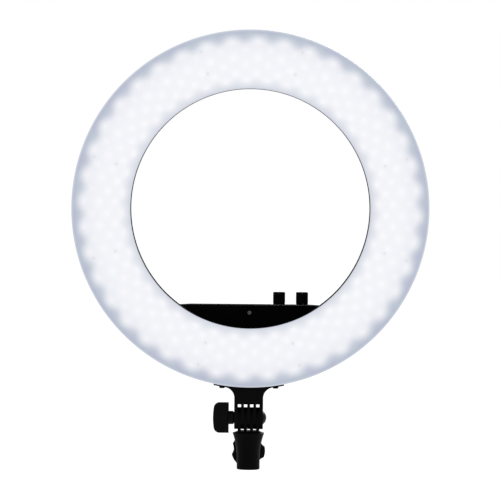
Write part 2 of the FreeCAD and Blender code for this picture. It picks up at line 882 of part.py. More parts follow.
def make_ring_lead():
    """The short lead from the control board through the wall to the boards, and its two plugs."""
    low, radius = float(lead_up), float(size.lead_radius)
    bend = 3 * radius
    along = float(panel_level - size.high_plug_deep / 2)
    high = low + float(size.lead_rise)
    centre = Vector(0, along - bend, low + bend)
    start = Vector(0, along, high)
    turn_top = Vector(0, along, low + bend)
    middle = centre + Vector(0, math.cos(math.pi / 4), -math.sin(math.pi / 4)) * bend
    turn_end = Vector(0, along - bend, low)
    end = Vector(0, float(heat_back + size.low_plug_reach), low)
    path = Part.Wire([Part.LineSegment(start, turn_top).toShape(),
                      Part.Arc(turn_top, middle, turn_end).toShape(),
                      Part.LineSegment(turn_end, end).toShape()])
    section = Part.Wire(Part.Circle(start, -ALONG_Z, radius).toShape())
    lead = doc.addObject("Part::Feature", "ring_lead")
    lead.Shape = path.makePipeShell([section], True, True)
    bind(lead, "Placement.Base.z", ring_height)
    half, low_half = float(size.plug_half), float(size.low_plug_half)
    deep, tall = float(size.high_plug_deep), float(size.high_plug_tall)
    low_plug = Part.makeBox(2 * half, float(size.low_plug_reach), 2 * low_half,
                            Vector(-half, float(heat_back), low - low_half))
    high_plug = Part.makeBox(2 * half, deep, tall, Vector(-half, float(panel_level) - deep, high))
    add_group("lead_plugs", [low_plug, high_plug])


# Control box


def box_foot(inset=0.0):
    """The height at which the box's sides meet the arc of its foot."""
    side = size.box_half - inset
    radius = box_radius - inset
    return -root(radius * radius - side * side)


def box_outline(sketch, inset=0.0):
    """The box from the front: flat top that falls a little to both ends, and a foot that follows
    the ring's own arc."""
    top = box_top - inset
    side = size.box_half - inset
    foot = box_foot(inset)
    shoulder = top - size.box_fall
    add_outline(sketch, [(-box_flat, top), (box_flat, top), (side, shoulder), (side, foot),
                         (-side, foot), (-side, shoulder)], {3: (0.0, 0.0, False)})


def box_corners(inset=0.0):
    """Picks the box's upright corner edges: shoulders first, then feet."""
    side = size.box_half - inset
    foot = box_foot(inset)
    shoulder = box_top - inset - size.box_fall
    return (line_at("y", (side, shoulder), (-side, shoulder)), line_at("y", (side, foot), (-side, foot)))


def round_box_corners(body, inset=0.0):
    shoulders, feet = box_corners(inset)
    soften(body, "Fillet", size.box_corner - inset, shoulders)
    soften(body, "Fillet", size.box_foot_corner - inset, feet)


def cover_screw_places():
    """Where the rear cover is screwed to the box, from the ring's centre."""
    across = size.box_half - size.box_screw_inset
    low_radius = box_radius - size.box_wall - size.box_post_radius - size.seam_gap
    low_across = size.box_screw_low_across
    low = -root(low_radius * low_radius - low_across * low_across)
    high, middle = box_top - size.box_screw_high, box_foot() + size.box_screw_foot
    return [(across, high), (-across, high), (across, middle), (-across, middle),
            (low_across, low), (-low_across, low)]


def panel_screw_places():
    """Where the control board is screwed down, from the ring's centre."""
    across = size.panel_half - size.panel_screw_side
    high = box_top - size.panel_drop - size.panel_screw_edge
    low = box_top - size.panel_drop - size.panel_tall + size.panel_screw_edge
    return [(across, high), (-across, high), (across, low), (-across, low)]


def dial_places():
    across = box_flat - size.dial_inset
    return [("brightness", across), ("colour", across - size.dial_pitch)]


def make_box_shell():
    """The black tray behind the ring, seen through the hole; the dials stand on its top."""
    body = ring_body("box_shell")
    outside = new_sketch(body, "XZ_Plane", rear)
    box_outline(outside)
    pad(body, outside, size.box_depth)
    inside = new_sketch(body, "XZ_Plane", box_front)
    box_outline(inside, size.box_wall)
    pocket(body, inside, size.box_depth)
    round_box_corners(body, size.box_wall)
    round_box_corners(body)

    posts = new_sketch(body, "XZ_Plane", box_front)
    pilots = new_sketch(body, "XZ_Plane", box_back)
    for place in cover_screw_places():
        add_circle(posts, *place, size.box_post_radius)
        add_circle(pilots, *place, size.cover_screw_radius + size.thread_gap)
    pad(body, posts, box_back - box_front)
    pocket(body, pilots, size.box_screw_length - size.box_cover_thick + OVERRUN, False)

    stands = new_sketch(body, "XZ_Plane", box_front)
    threads = new_sketch(body, "XZ_Plane", panel_level)
    for place in panel_screw_places():
        add_circle(stands, *place, 2 * size.cover_screw_radius)
        add_circle(threads, *place, size.cover_screw_radius + size.thread_gap)
    pad(body, stands, size.panel_stand)
    pocket(body, threads, size.panel_stand, False)

    holes = new_sketch(body, "XZ_Plane", rear)
    for place in box_mount_places():
        add_circle(holes, *place, size.mount_screw_radius + size.fit_gap)
    add_circle(holes, 0.0, front_screw_up, size.board_screw_radius + size.fit_gap)
    add_circle(holes, 0.0, lead_up, size.lead_hole)
    pocket(body, holes, size.box_wall)

    bushes = new_sketch(body, "XY_Plane", box_top)
    for name, across in dial_places():
        add_circle(bushes, across, dial_back, size.bush_radius + size.fit_gap)
    pocket(body, bushes, size.box_wall, False)


def make_box_cover():
    """The rear cover with its openings for the display, the switch, the inlet and the latches."""
    body = ring_body("box_cover")
    plate = new_sketch(body, "XZ_Plane", box_back)
    box_outline(plate)
    pad(body, plate, size.box_cover_thick)
    round_box_corners(body)
    soften(body, "Fillet", size.box_edge, level_edges("y", box_rear))
    cuts = new_sketch(body, "XZ_Plane", box_back)
    add_box(cuts, 0.0, box_top - size.display_drop, size.window_half + size.fit_gap,
            size.window_tall / 2 + size.fit_gap)
    case_half, case_half_tall = switch_case()
    add_box(cuts, -size.switch_across, socket_up, case_half + size.fit_gap, case_half_tall + size.fit_gap)
    add_circle(cuts, size.inlet_across, socket_up, size.inlet_radius + size.fit_gap)
    for across in (plate_across, -plate_across):
        for up, half_up in latch_windows():
            add_box(cuts, across, up, size.latch_half + size.latch_gap, half_up + size.latch_gap)
        for offset, up in plate_screw_places():
            add_circle(cuts, across + offset, plate_up + up, size.cover_screw_radius + size.fit_gap)
    for place in cover_screw_places():
        add_circle(cuts, *place, size.cover_screw_radius + size.fit_gap)
    pocket(body, cuts, size.box_cover_thick)


def latch_windows():
    """The (height, half height) of the latch's tongue and of its thumb pad."""
    plate_foot = plate_up - size.plate_tall / 2
    return [(plate_foot + size.tongue_up, size.tongue_half),
            (plate_foot - size.thumb_down, size.thumb_half)]


def make_box_screws():
    """The screws of the box: to the ring, of the cover, of the control board and the grey one."""
    mount = pan_screw(size.mount_screw_head, size.mount_screw_tall, size.mount_screw_radius,
                      size.mount_screw_length)
    add_group("box_mount_screws", [moved(mount, across, box_front, up, ALONG_Y)
                                   for across, up in box_mount_places()])
    small = (size.cover_screw_head, size.cover_screw_tall, size.cover_screw_radius)
    cover = pan_screw(*small, size.box_screw_length)
    add_group("box_cover_screws", [moved(cover, across, box_rear, up, ALONG_Y)
                                   for across, up in cover_screw_places()])
    board = pan_screw(*small, size.panel_screw_length)
    add_group("control_board_screws", [moved(board, across, panel_level + size.board_thick, up, ALONG_Y)
                                       for across, up in panel_screw_places()])
    grey = pan_screw(size.board_screw_head, size.board_screw_tall, size.board_screw_radius,
                     size.front_screw_length)
    add_group("front_screw", [moved(grey, 0.0, rear, front_screw_up, -ALONG_Y)])


def make_centre_standoff():
    """The hex brass standoff behind the grey screw; the control board rests on it."""
    body = ring_body("centre_standoff", z=front_screw_up)
    hexagon = new_sketch(body, "XZ_Plane", box_front)
    flat = 2 * size.board_screw_radius
    add_outline(hexagon, [polar(flat, 60.0 * side) for side in range(6)])
    pad(body, hexagon, size.panel_stand)
    hole = new_sketch(body, "XZ_Plane", box_front)
    add_circle(hole, 0.0, 0.0, size.board_screw_radius + size.thread_gap)
    pocket(body, hole, size.panel_stand)


def make_control_board():
    """The driver board on its stand-offs, and the larger parts that sit on it."""
    middle = box_top - size.panel_drop - size.panel_tall / 2
    body = ring_body("control_board")
    board = new_sketch(body, "XZ_Plane", panel_level)
    add_box(board, 0.0, middle, size.panel_half, size.panel_tall / 2)
    for place in panel_screw_places():
        add_circle(board, *place, size.cover_screw_radius + size.fit_gap)
    pad(body, board, size.board_thick)

    back = float(panel_level + size.board_thick)

    def cylinder(radius, tall, across, up):
        place = Vector(float(across), back, float(up))
        return Part.makeCylinder(float(radius), float(tall), place, ALONG_Y)

    def block(long, tall, wide, across, up):
        corner = Vector(float(across - long / 2), back, float(up - wide / 2))
        return Part.makeBox(float(long), float(tall), float(wide), corner)

    shapes = []
    for step in (-0.5, 0.5):
        shapes.append(cylinder(size.coil_radius, size.coil_tall,
                               step * size.coil_pitch - size.coil_across, middle - size.coil_below))
        shapes.append(cylinder(size.capacitor_radius, size.capacitor_tall,
                               step * size.capacitor_pitch - size.capacitor_across,
                               middle + size.capacitor_above))
    for step in (-1.0, 0.0, 1.0):
        shapes.append(block(size.chip_side, size.chip_tall, size.chip_side,
                            step * size.chip_pitch + size.chip_across, middle - size.chip_below))
    shapes.append(block(size.sink_long, size.sink_tall, size.sink_wide,
                        size.sink_across, middle + size.sink_above))
    add_group("board_parts", shapes)


def make_display():
    """The display module behind the cover, and the clear window that closes the opening."""
    middle = box_top - size.display_drop
    body = ring_body("display_module", z=middle)
    frame = new_sketch(body, "XZ_Plane", box_back)
    add_box(frame, 0.0, 0.0, size.window_half + size.module_margin,
            size.window_tall / 2 + size.module_margin)
    pad(body, frame, size.module_thick, False)
    glass = new_sketch(body, "XZ_Plane", box_back)
    add_box(glass, 0.0, 0.0, size.window_half - size.glass_margin, size.window_tall / 2 - size.glass_margin)
    pad(body, glass, size.box_cover_thick - size.window_thick - size.fit_gap)
    window = ring_body("display_window", z=middle)
    pane = new_sketch(window, "XZ_Plane", box_rear)
    add_box(pane, 0.0, 0.0, size.window_half, size.window_tall / 2)
    pad(window, pane, size.window_thick, False)


def make_dial(name, across):
    """A fluted dial, its shaft and its control, which hangs under the top of the box."""
    wall_bottom = -size.box_wall
    bush_top = size.bush_rise
    place = (across, dial_back, box_top)

    control = ring_body(name + "_control", *place)
    case = new_sketch(control, "XY_Plane", wall_bottom)
    add_box(case, 0.0, 0.0, size.control_half, size.control_half_deep)
    pad(control, case, size.control_tall, False)
    bush = new_sketch(control, "XY_Plane", wall_bottom)
    add_circle(bush, 0.0, 0.0, size.bush_radius)
    pad(control, bush, bush_top - wall_bottom)
    bore = new_sketch(control, "XY_Plane", bush_top)
    add_circle(bore, 0.0, 0.0, size.shaft_neck + size.running_gap)
    pocket(control, bore, bush_top - wall_bottom + size.shaft_sunk + size.fit_gap, False)

    shaft = ring_body(name + "_shaft", *place)
    low = wall_bottom - size.shaft_sunk
    step = bush_top + size.fit_gap
    high = size.dial_gap + size.dial_height - size.dial_crown - size.fit_gap
    profile = new_sketch(shaft, "XZ_Plane")
    add_outline(profile, [(0.0, low), (size.shaft_neck, low), (size.shaft_neck, step),
                          (size.shaft_radius, step), (size.shaft_radius, high), (0.0, high)])
    revolve(shaft, profile)

    dial = ring_body(name + "_dial", *place)
    bottom = size.dial_gap
    top = bottom + size.dial_height
    foot = size.dial_radius - size.dial_foot_inset
    foot_top = bottom + size.dial_foot_tall
    recess = size.nut_half * HEX_CORNER + size.nut_room
    recess_top = bush_top + size.nut_room
    bore_radius = size.shaft_radius + size.press_gap
    bore_top = high + size.fit_gap
    profile = new_sketch(dial, "XZ_Plane")
    add_outline(profile, [
        (recess, bottom), (foot, bottom), (foot, foot_top),
        (size.dial_radius, foot_top + size.dial_foot_slope), (size.dial_radius, top), (0.0, top),
        (0.0, bore_top), (bore_radius, bore_top), (bore_radius, recess_top), (recess, recess_top)])
    revolve(dial, profile)
    soften(dial, "Fillet", size.dial_round, circle_at("z", size.dial_radius, top))
    flute = new_sketch(dial, "XY_Plane", bottom + size.flute_low)
    add_circle(flute, size.dial_radius + size.flute_out, 0.0, size.flute_radius)
    cut = pocket(dial, flute, size.dial_height - size.flute_low - size.flute_high)
    repeat_round(dial, [cut], "Z_Axis", FLUTE_COUNT)
    mark = new_sketch(dial, "XZ_Plane", -(size.dial_radius + OVERRUN))
    add_box(mark, 0.0, top, size.dial_notch / 2, size.dial_notch_deep)
    pocket(dial, mark, size.dial_radius + OVERRUN)


def make_dial_nuts():
    """The hex nuts that clamp both controls to the top of the box, hidden inside the dials."""
    corner = float(size.nut_half * HEX_CORNER)
    bore = float(size.bush_radius + size.press_gap)
    thick = float(size.nut_thick)
    points = [Vector(*polar(corner, 60.0 * side), 0) for side in range(6)]
    nut = Part.Face(Part.makePolygon(points + points[:1])).extrude(Vector(0, 0, thick))
    nut = nut.cut(Part.makeCylinder(bore, thick))
    add_group("dial_nuts", [moved(nut, across, dial_back, box_top) for name, across in dial_places()])


def switch_case():
    """Half the width and half the height of the switch's case."""
    return (size.rocker_half + size.rocker_end_gap + size.switch_wall,
            size.rocker_tall / 2 + size.rocker_side_gap + size.switch_wall)


def make_switch():
    """The power switch: a snap-in body, and a rocker that rests tilted in it."""
    place = (-size.switch_across, box_rear, socket_up)
    case_half, case_half_tall = switch_case()
    body = ring_body("switch_body", *place)
    rim = new_sketch(body, "XZ_Plane", 0.0)
    add_box(rim, 0.0, 0.0, case_half + size.switch_rim, case_half_tall + size.switch_rim)
    pad(body, rim, size.switch_rim_thick)
    case = new_sketch(body, "XZ_Plane", 0.0)
    add_box(case, 0.0, 0.0, case_half, case_half_tall)
    pad(body, case, size.switch_deep, False)
    well = new_sketch(body, "XZ_Plane", size.switch_rim_thick)
    add_box(well, 0.0, 0.0, case_half - size.switch_wall, case_half_tall - size.switch_wall)
    pocket(body, well, size.switch_rim_thick + size.switch_well, False)
    pins = new_sketch(body, "XY_Plane", -(size.rocker_tall / 2 + size.rocker_pin_reach + size.seam_gap))
    add_circle(pins, 0.0, 0.0, size.rocker_pin_radius + size.fit_gap)
    pocket(body, pins, size.rocker_tall + 2 * (size.rocker_pin_reach + size.seam_gap))

    rocker = ring_body("switch_rocker", *place)
    rocker.Placement.Rotation = FreeCAD.Rotation(ALONG_Z, 1.0)
    bind(rocker, "Placement.Rotation.Angle", size.rocker_rest)
    half, heel = size.rocker_half, size.rocker_heel_half
    rise, skirt, drop = size.rocker_rise, -size.rocker_skirt, -size.rocker_heel_drop
    profile = new_sketch(rocker, "XY_Plane")
    add_outline(profile, [(-half, rise), (-half, skirt), (-heel, drop), (heel, drop), (half, skirt),
                          (half, rise), (0.0, rise - size.rocker_dish)])
    pad(rocker, profile, size.rocker_tall, both=True)
    pin = new_sketch(rocker, "XY_Plane")
    add_circle(pin, 0.0, 0.0, size.rocker_pin_radius)
    pad(rocker, pin, size.rocker_tall + 2 * size.rocker_pin_reach, both=True)


def make_power_inlet():
    """The round power inlet: a barrel with its centre pin, held by a nut from outside."""
    place = (size.inlet_across, box_rear, socket_up)
    body = ring_body("power_inlet", *place)
    profile = new_sketch(body, "XY_Plane")
    inside = -size.box_cover_thick
    bottom = inside - size.inlet_deep
    flange = size.inlet_radius + size.inlet_flange
    bore, pin = size.inlet_bore, size.inlet_pin_radius
    rise, well, pin_rise = size.inlet_rise, -size.inlet_well, size.inlet_pin_rise
    add_outline(profile, [
        (0.0, bottom), (flange, bottom), (flange, inside), (size.inlet_radius, inside),
        (size.inlet_radius, rise), (bore, rise), (bore, well), (pin, well),
        (pin, pin_rise), (0.0, pin_rise)])
    revolve(body, profile)
    nut = ring_body("power_inlet_nut", *place)
    ring = new_sketch(nut, "XZ_Plane", 0.0)
    add_outline(ring, [polar(size.inlet_radius + size.inlet_nut_wall, 60.0 * side) for side in range(6)])
    add_circle(ring, 0.0, 0.0, size.inlet_radius + size.thread_gap)
    pad(nut, ring, size.inlet_nut_thick)


def make_battery_plate(side_name, across):
    """A slide-on battery plate: base, two hooked rails, contact block and a window for the latch."""
    half, tall = size.plate_half, size.plate_tall / 2
    body = ring_body("battery_plate_" + side_name, across, box_rear, plate_up)
    base = new_sketch(body, "XZ_Plane", 0.0)
    add_box(base, 0.0, 0.0, half, tall)
    pad(body, base, size.plate_thick)
    rails = new_sketch(body, "XY_Plane")
    low, high = size.plate_thick - ROOTED, size.plate_thick + size.rail_rise
    lip = high - size.rail_lip
    for side in (1, -1):
        outer, wall = side * half, side * (half - size.rail_wall)
        hook = side * (half - size.rail_wall - size.rail_lip)
        add_outline(rails, [
            (outer, low), (outer, high), (hook, high), (hook, lip), (wall, lip), (wall, low)])
    pad(body, rails, size.rail_length, both=True)
    block = new_sketch(body, "XZ_Plane", size.plate_thick)
    add_box(block, 0.0, tall - size.block_tall / 2, size.block_half, size.block_tall / 2)
    pad(body, block, size.block_rise)
    cuts = new_sketch(body, "XZ_Plane", 0.0)
    up, half_up = latch_windows()[0]
    add_box(cuts, 0.0, up - plate_up, size.latch_half + size.latch_gap, half_up + size.latch_gap)
    for place in plate_screw_places():
        add_circle(cuts, *place, size.cover_screw_radius + size.fit_gap)
    pocket(body, cuts, size.plate_thick)


def make_battery_latch(side_name, across):
    """A sprung latch: its tongue holds the battery, and its thumb pad lies below the plate."""
    body = ring_body("battery_latch_" + side_name, across, box_rear, plate_up)
    (tongue, tongue_half), (thumb, thumb_half) = latch_windows()
    inner = -(size.box_cover_thick + size.fit_gap)
    carrier = new_sketch(body, "XZ_Plane", inner)
    add_box(carrier, 0.0, (tongue + thumb) / 2 - plate_up, size.latch_half + size.carrier_wall,
            (tongue - thumb) / 2 + size.latch_half)
    pad(body, carrier, size.carrier_thick, False)
    catch = new_sketch(body, "XZ_Plane", inner)
    add_box(catch, 0.0, tongue - plate_up, size.latch_half, tongue_half)
    pad(body, catch, size.plate_thick + size.latch_travel - size.seam_gap - inner)
    press = new_sketch(body, "XZ_Plane", inner)
    add_box(press, 0.0, thumb - plate_up, size.latch_half, thumb_half)
    pad(body, press, size.plate_thick - inner)


def plate_screw_places():
    """Where a battery plate is screwed down, from its own middle."""
    across = size.plate_half - size.plate_screw_side
    up = size.plate_tall / 2 - size.plate_screw_end
    return [(across, up), (-across, up), (across, -up), (-across, -up)]


def make_battery_details():
    """The contact blades of both plates, and the screws that hold the plates."""
    screw = pan_screw(size.plate_screw_head, size.plate_screw_tall, size.cover_screw_radius,
                      size.plate_screw_length)
    wide, tall, long = float(size.blade_wide), float(size.blade_tall), float(size.blade_long)
    level = box_rear + size.plate_thick
    blade_top = plate_up + size.plate_tall / 2 - size.block_tall
    blades, screws = [], []
    for middle in (plate_across, -plate_across):
        for step in (-1.0, 0.0, 1.0):
            across = float(middle + step * size.blade_pitch) - wide / 2
            corner = Vector(across, float(level + size.blade_up), float(blade_top) - long)
            blades.append(Part.makeBox(wide, tall, long, corner))
        for offset, up in plate_screw_places():
            screws.append(moved(screw, middle + offset, level, plate_up + up, ALONG_Y))
    add_group("battery_contacts", blades)
    add_group("battery_plate_screws", screws)


# Bracket and tilt clamp


def make_neck_bracket():
    """The saddle under the ring and the upper knuckle with its five fingers, in one casting."""
    body = new_body("neck_bracket", z=size.tilt_height)
    centre = size.neck_length + size.ring_radius
    inner = size.ring_radius + size.seat_gap
    outer = inner + size.saddle_wall
    depth = size.saddle_depth / 2
    neck_top = size.neck_length - size.seat_gap - size.saddle_wall / 2
    shoulder, cheek = size.neck_shoulder, size.knuckle_radius
    side = new_sketch(body, "YZ_Plane")
    add_outline(side, [
        (-depth, neck_top), (depth, neck_top), (depth, shoulder), (cheek, shoulder / 3), (cheek, 0.0),
        (-cheek, 0.0), (-cheek, shoulder / 3), (-depth, shoulder)], {4: (0.0, 0.0, False)})
    pad(body, side, 2 * size.neck_half, both=True)
    soften(body, "Chamfer", size.knuckle_bevel, circle_at("x", size.knuckle_radius, size.neck_half),
           circle_at("x", size.knuckle_radius, -size.neck_half))
    half = size.saddle_half
    low = centre - root(outer * outer - half * half)
    high = centre - root(inner * inner - half * half)
    saddle = new_sketch(body, "XZ_Plane")
    add_outline(saddle, [(-half, low), (half, low), (half, high), (-half, high)],
                {0: (0.0, centre, True), 2: (0.0, centre, False)})
    pad(body, saddle, size.saddle_depth, both=True)
    joint = centre - root(outer * outer - size.neck_half * size.neck_half)
    soften(body, "Fillet", size.neck_round, line_at("y", (size.neck_half, joint), (-size.neck_half, joint)))

    over = size.knuckle_radius + OVERRUN
    slots = new_sketch(body, "XZ_Plane", -over)
    for step in (-1.5, -0.5, 0.5, 1.5):
        add_box(slots, size.finger_pitch * step, (size.slot_above - over) / 2,
                size.slot_width / 2, (size.slot_above + over) / 2)
    pocket(body, slots, 2 * over)
    bore = new_sketch(body, "YZ_Plane", -(size.neck_half + OVERRUN))
    add_circle(bore, 0.0, 0.0, size.bolt_radius + size.bolt_gap)
    pocket(body, bore, 2 * (size.neck_half + OVERRUN))
    square = new_sketch(body, "YZ_Plane", size.neck_half)
    half_square = size.bolt_square / 2 + size.fit_gap
    add_box(square, 0.0, 0.0, half_square, half_square)
    pocket(body, square, size.bolt_square_length + size.fit_gap, False)

    seat = size.neck_length - size.saddle_boss_drop
    bosses = new_sketch(body, "XY_Plane", seat)
    holes = new_sketch(body, "XY_Plane", seat)
    for across, back in saddle_screw_places():
        add_circle(bosses, across, back, size.saddle_screw_head + size.saddle_boss_wall)
        add_circle(holes, across, back, size.saddle_screw_radius + size.fit_gap)
    pad(body, bosses, size.saddle_boss_tall)
    pocket(body, holes, size.saddle_screw_length + OVERRUN)


def make_saddle_screws():
    """The four screws that hold the bracket to the ring, from below."""
    screw = pan_screw(size.saddle_screw_head, size.saddle_screw_tall, size.saddle_screw_radius,
                      size.saddle_screw_length)
    seat = size.tilt_height + size.neck_length - size.saddle_boss_drop
    add_group("saddle_screws", [moved(screw, across, back, seat, -ALONG_Z)
                                for across, back in saddle_screw_places()], 0.0)


def make_tilt_bolt():
    """The clamp bolt: domed head on the right, square neck, thread towards the handle."""
    body = new_body("tilt_bolt", z=size.tilt_height)
    head, tall = size.bolt_head_radius, size.bolt_head_height
    dome = (head * head + tall * tall) / (2 * tall)
    top = size.neck_half + tall
    profile = new_sketch(body, "XY_Plane")
    add_outline(profile, [
        (-size.bolt_reach, 0.0), (top, 0.0), (size.neck_half, head), (size.neck_half, size.bolt_radius),
        (-size.bolt_reach, size.bolt_radius)], {1: (top - dome, 0.0, True)})
    revolve(body, profile, "H_Axis")
    soften(body, "Chamfer", size.thread_bevel, circle_at("x", size.bolt_radius, -size.bolt_reach))
    square = new_sketch(body, "YZ_Plane", size.neck_half)
    add_box(square, 0.0, 0.0, size.bolt_square / 2, size.bolt_square / 2)
    pad(body, square, size.bolt_square_length, False)


def make_tilt_washer():
    """The washer between the bracket and the handle's stem."""
    body = new_body("tilt_washer", x=-size.neck_half, z=size.tilt_height)
    bore = size.bolt_radius + size.bolt_gap
    profile = new_sketch(body, "XY_Plane")
    add_outline(profile, [
        (0.0, bore), (0.0, size.washer_radius - size.washer_bevel), (-size.washer_bevel, size.washer_radius),
        (-size.washer_thick, size.washer_radius), (-size.washer_thick, bore)])
    revolve(body, profile, "H_Axis")


def make_tilt_handle():
    """The T-handle: an upright bar on a short stem, with a threaded insert in the stem."""
    start = size.neck_half + size.washer_thick
    body = new_body("tilt_handle", x=-start, z=size.tilt_height)
    near_face = -size.handle_stem
    far_face = near_face - size.handle_across
    half = size.handle_tall / 2
    corner = far_face + size.handle_bulge
    swell = (half * half + size.handle_bulge * size.handle_bulge) / (2 * size.handle_bulge)
    bar = new_sketch(body, "XZ_Plane")
    add_outline(bar, [(near_face, -half), (near_face, half), (corner, half), (corner, -half)],
                {2: (far_face + swell, 0.0, True)})
    pad(body, bar, size.handle_thick, both=True)
    soften(body, "Fillet", size.handle_corner, line_at("y", (corner, half), (corner, -half)))
    soften(body, "Fillet", size.handle_round, level_edges("y", size.handle_thick / 2),
           level_edges("y", -size.handle_thick / 2))
    stem = new_sketch(body, "YZ_Plane", 0.0)
    add_circle(stem, 0.0, 0.0, size.handle_stem_radius)
    pad(body, stem, size.handle_stem + ROOTED, False)
    seat = new_sketch(body, "YZ_Plane", 0.0)
    add_circle(seat, 0.0, 0.0, size.insert_radius + size.press_gap)
    pocket(body, seat, size.insert_length, False)
    room = new_sketch(body, "YZ_Plane", 0.0)
    add_circle(room, 0.0, 0.0, size.bolt_radius + 2 * size.bolt_gap)
    pocket(body, room, size.bolt_reach - start + size.bolt_room, False)

    insert = new_body("tilt_handle_insert", x=-start, z=size.tilt_height)
    ring = new_sketch(insert, "YZ_Plane", 0.0)
    add_circle(ring, 0.0, 0.0, size.insert_radius)
    add_circle(ring, 0.0, 0.0, size.bolt_radius + size.bolt_gap)
    pad(insert, ring, size.insert_length, False)


# Stand socket and its lock


def make_stand_socket():
    """The socket for the stand's spigot; it flares to a rim that carries the lower four fingers."""
    body = new_body("stand_socket")
    rim = size.tilt_height - size.rim_below
    edge = rim - size.rim_wall
    out = size.rim_radius - size.socket_radius
    rise = edge - size.flare_start
    flare = (rise * rise + out * out) / (2 * out)
    profile = new_sketch(body, "XZ_Plane")
    add_outline(profile, [
        (size.spigot_bore, 0.0), (size.socket_radius, 0.0), (size.socket_radius, size.flare_start),
        (size.rim_radius, edge), (size.lower_finger_radius, rim), (0.0, rim), (0.0, size.bore_depth),
        (size.spigot_bore, size.bore_depth)], {2: (size.socket_radius + flare, size.flare_start, False)})
    revolve(body, profile)
    soften(body, "Fillet", size.socket_round, circle_at("z", size.socket_radius, 0.0))

    disc = size.lower_finger_radius
    side = new_sketch(body, "YZ_Plane")
    add_outline(side, [(-disc, edge), (disc, edge), (disc, size.tilt_height), (-disc, size.tilt_height)],
                {2: (0.0, size.tilt_height, True)})
    pad(body, side, 3 * size.finger_pitch + size.lower_finger, both=True)
    gap = (size.finger_pitch - size.lower_finger) / 2
    gaps = new_sketch(body, "XZ_Plane", -(disc + OVERRUN))
    high = size.tilt_height + disc + OVERRUN
    for step in (-1.0, 0.0, 1.0):
        add_box(gaps, size.finger_pitch * step, (rim + high) / 2, gap, (high - rim) / 2)
    pocket(body, gaps, 2 * (disc + OVERRUN))
    bore = new_sketch(body, "YZ_Plane", -(size.neck_half + OVERRUN))
    add_circle(bore, 0.0, size.tilt_height, size.bolt_radius + size.bolt_gap)
    pocket(body, bore, 2 * (size.neck_half + OVERRUN))

    root_level = (size.spigot_bore + size.socket_radius) / 2
    boss = new_sketch(body, "XZ_Plane", root_level)
    add_circle(boss, 0.0, size.lock_height, size.lock_boss_radius)
    pad(body, boss, size.lock_boss_reach - root_level)
    hole = new_sketch(body, "XZ_Plane", 0.0)
    add_circle(hole, 0.0, size.lock_height, size.bolt_radius + 2 * size.bolt_gap)
    pocket(body, hole, size.lock_boss_reach)
    seat = new_sketch(body, "XZ_Plane", size.lock_boss_reach)
    add_circle(seat, 0.0, size.lock_height, size.lock_insert_radius + size.press_gap)
    pocket(body, seat, size.lock_insert_length, False)


def make_stand_lock():
    """The lock: a brass pad that the stud of the star knob pushes against the spigot."""
    pad_level = size.spigot_bore + size.running_gap
    stud_level = pad_level + size.pad_thick
    stem_level = size.lock_boss_reach + size.star_gap
    star_level = stem_level + size.star_stem
    star_face = star_level + size.star_thick

    insert = new_body("lock_insert", z=size.lock_height)
    ring = new_sketch(insert, "XZ_Plane", size.lock_boss_reach)
    add_circle(ring, 0.0, 0.0, size.lock_insert_radius)
    add_circle(ring, 0.0, 0.0, size.bolt_radius + size.bolt_gap)
    pad(insert, ring, size.lock_insert_length, False)

    shoe = new_body("lock_pad", z=size.lock_height)
    disc = new_sketch(shoe, "XZ_Plane", pad_level)
    add_circle(disc, 0.0, 0.0, size.bolt_radius - size.bolt_gap)
    pad(shoe, disc, size.pad_thick)

    stud = new_body("lock_stud", z=size.lock_height)
    rod = new_sketch(stud, "XZ_Plane", stud_level)
    add_circle(rod, 0.0, 0.0, size.bolt_radius)
    pad(stud, rod, star_face - size.star_crown - stud_level)
    soften(stud, "Chamfer", size.thread_bevel, circle_at("y", size.bolt_radius, stud_level))

    knob = new_body("lock_knob", z=size.lock_height)
    stem = new_sketch(knob, "XZ_Plane", stem_level)
    add_circle(stem, 0.0, 0.0, size.lock_boss_radius)
    pad(knob, stem, size.star_stem + ROOTED)
    disc = new_sketch(knob, "XZ_Plane", star_level)
    add_circle(disc, 0.0, 0.0, size.star_radius)
    pad(knob, disc, size.star_thick)
    dent = new_sketch(knob, "XZ_Plane", star_level)
    away = size.star_radius - size.star_dent + size.star_dent_radius
    add_circle(dent, *polar(away, LOBE_TURN + 180.0 / LOBE_COUNT), size.star_dent_radius)
    repeat_round(knob, [pocket(knob, dent, size.star_thick)], "Y_Axis", LOBE_COUNT)
    soften(knob, "Fillet", size.star_round, level_edges("y", star_face))
    seat = new_sketch(knob, "XZ_Plane", stem_level)
    add_circle(seat, 0.0, 0.0, size.bolt_radius + size.press_gap)
    pocket(knob, seat, star_face - size.star_crown - stem_level + size.fit_gap)


def build():
    make_diffuser_cover()
    make_rear_housing()
    make_heat_plate()
    for quarter, name in enumerate(("upper_right", "upper_left", "lower_left", "lower_right")):
        make_led_board("led_board_" + name, quarter)
    make_led_emitters()
    make_board_links()
    make_ring_screws()
    make_reinforcing_plate()
    make_ring_lead()
    make_box_shell()
    make_box_cover()
    make_box_screws()
    make_centre_standoff()
    make_control_board()
    make_display()
    for name, across in dial_places():
        make_dial(name, across)
    make_dial_nuts()
    make_switch()
    make_power_inlet()
    for side_name, across in (("right", plate_across), ("left", -plate_across)):
        make_battery_plate(side_name, across)
        make_battery_latch(side_name, across)
    make_battery_details()
    make_neck_bracket()
    make_saddle_screws()
    make_tilt_bolt()
    make_tilt_washer()
    make_tilt_handle()
    make_stand_socket()
    make_stand_lock()
    doc.recompute()


def subparts():
    """Every body and every free shape that is a piece of the light."""
    return [item for item in doc.Objects if item.TypeId in ("PartDesign::Body", "Part::Feature")]


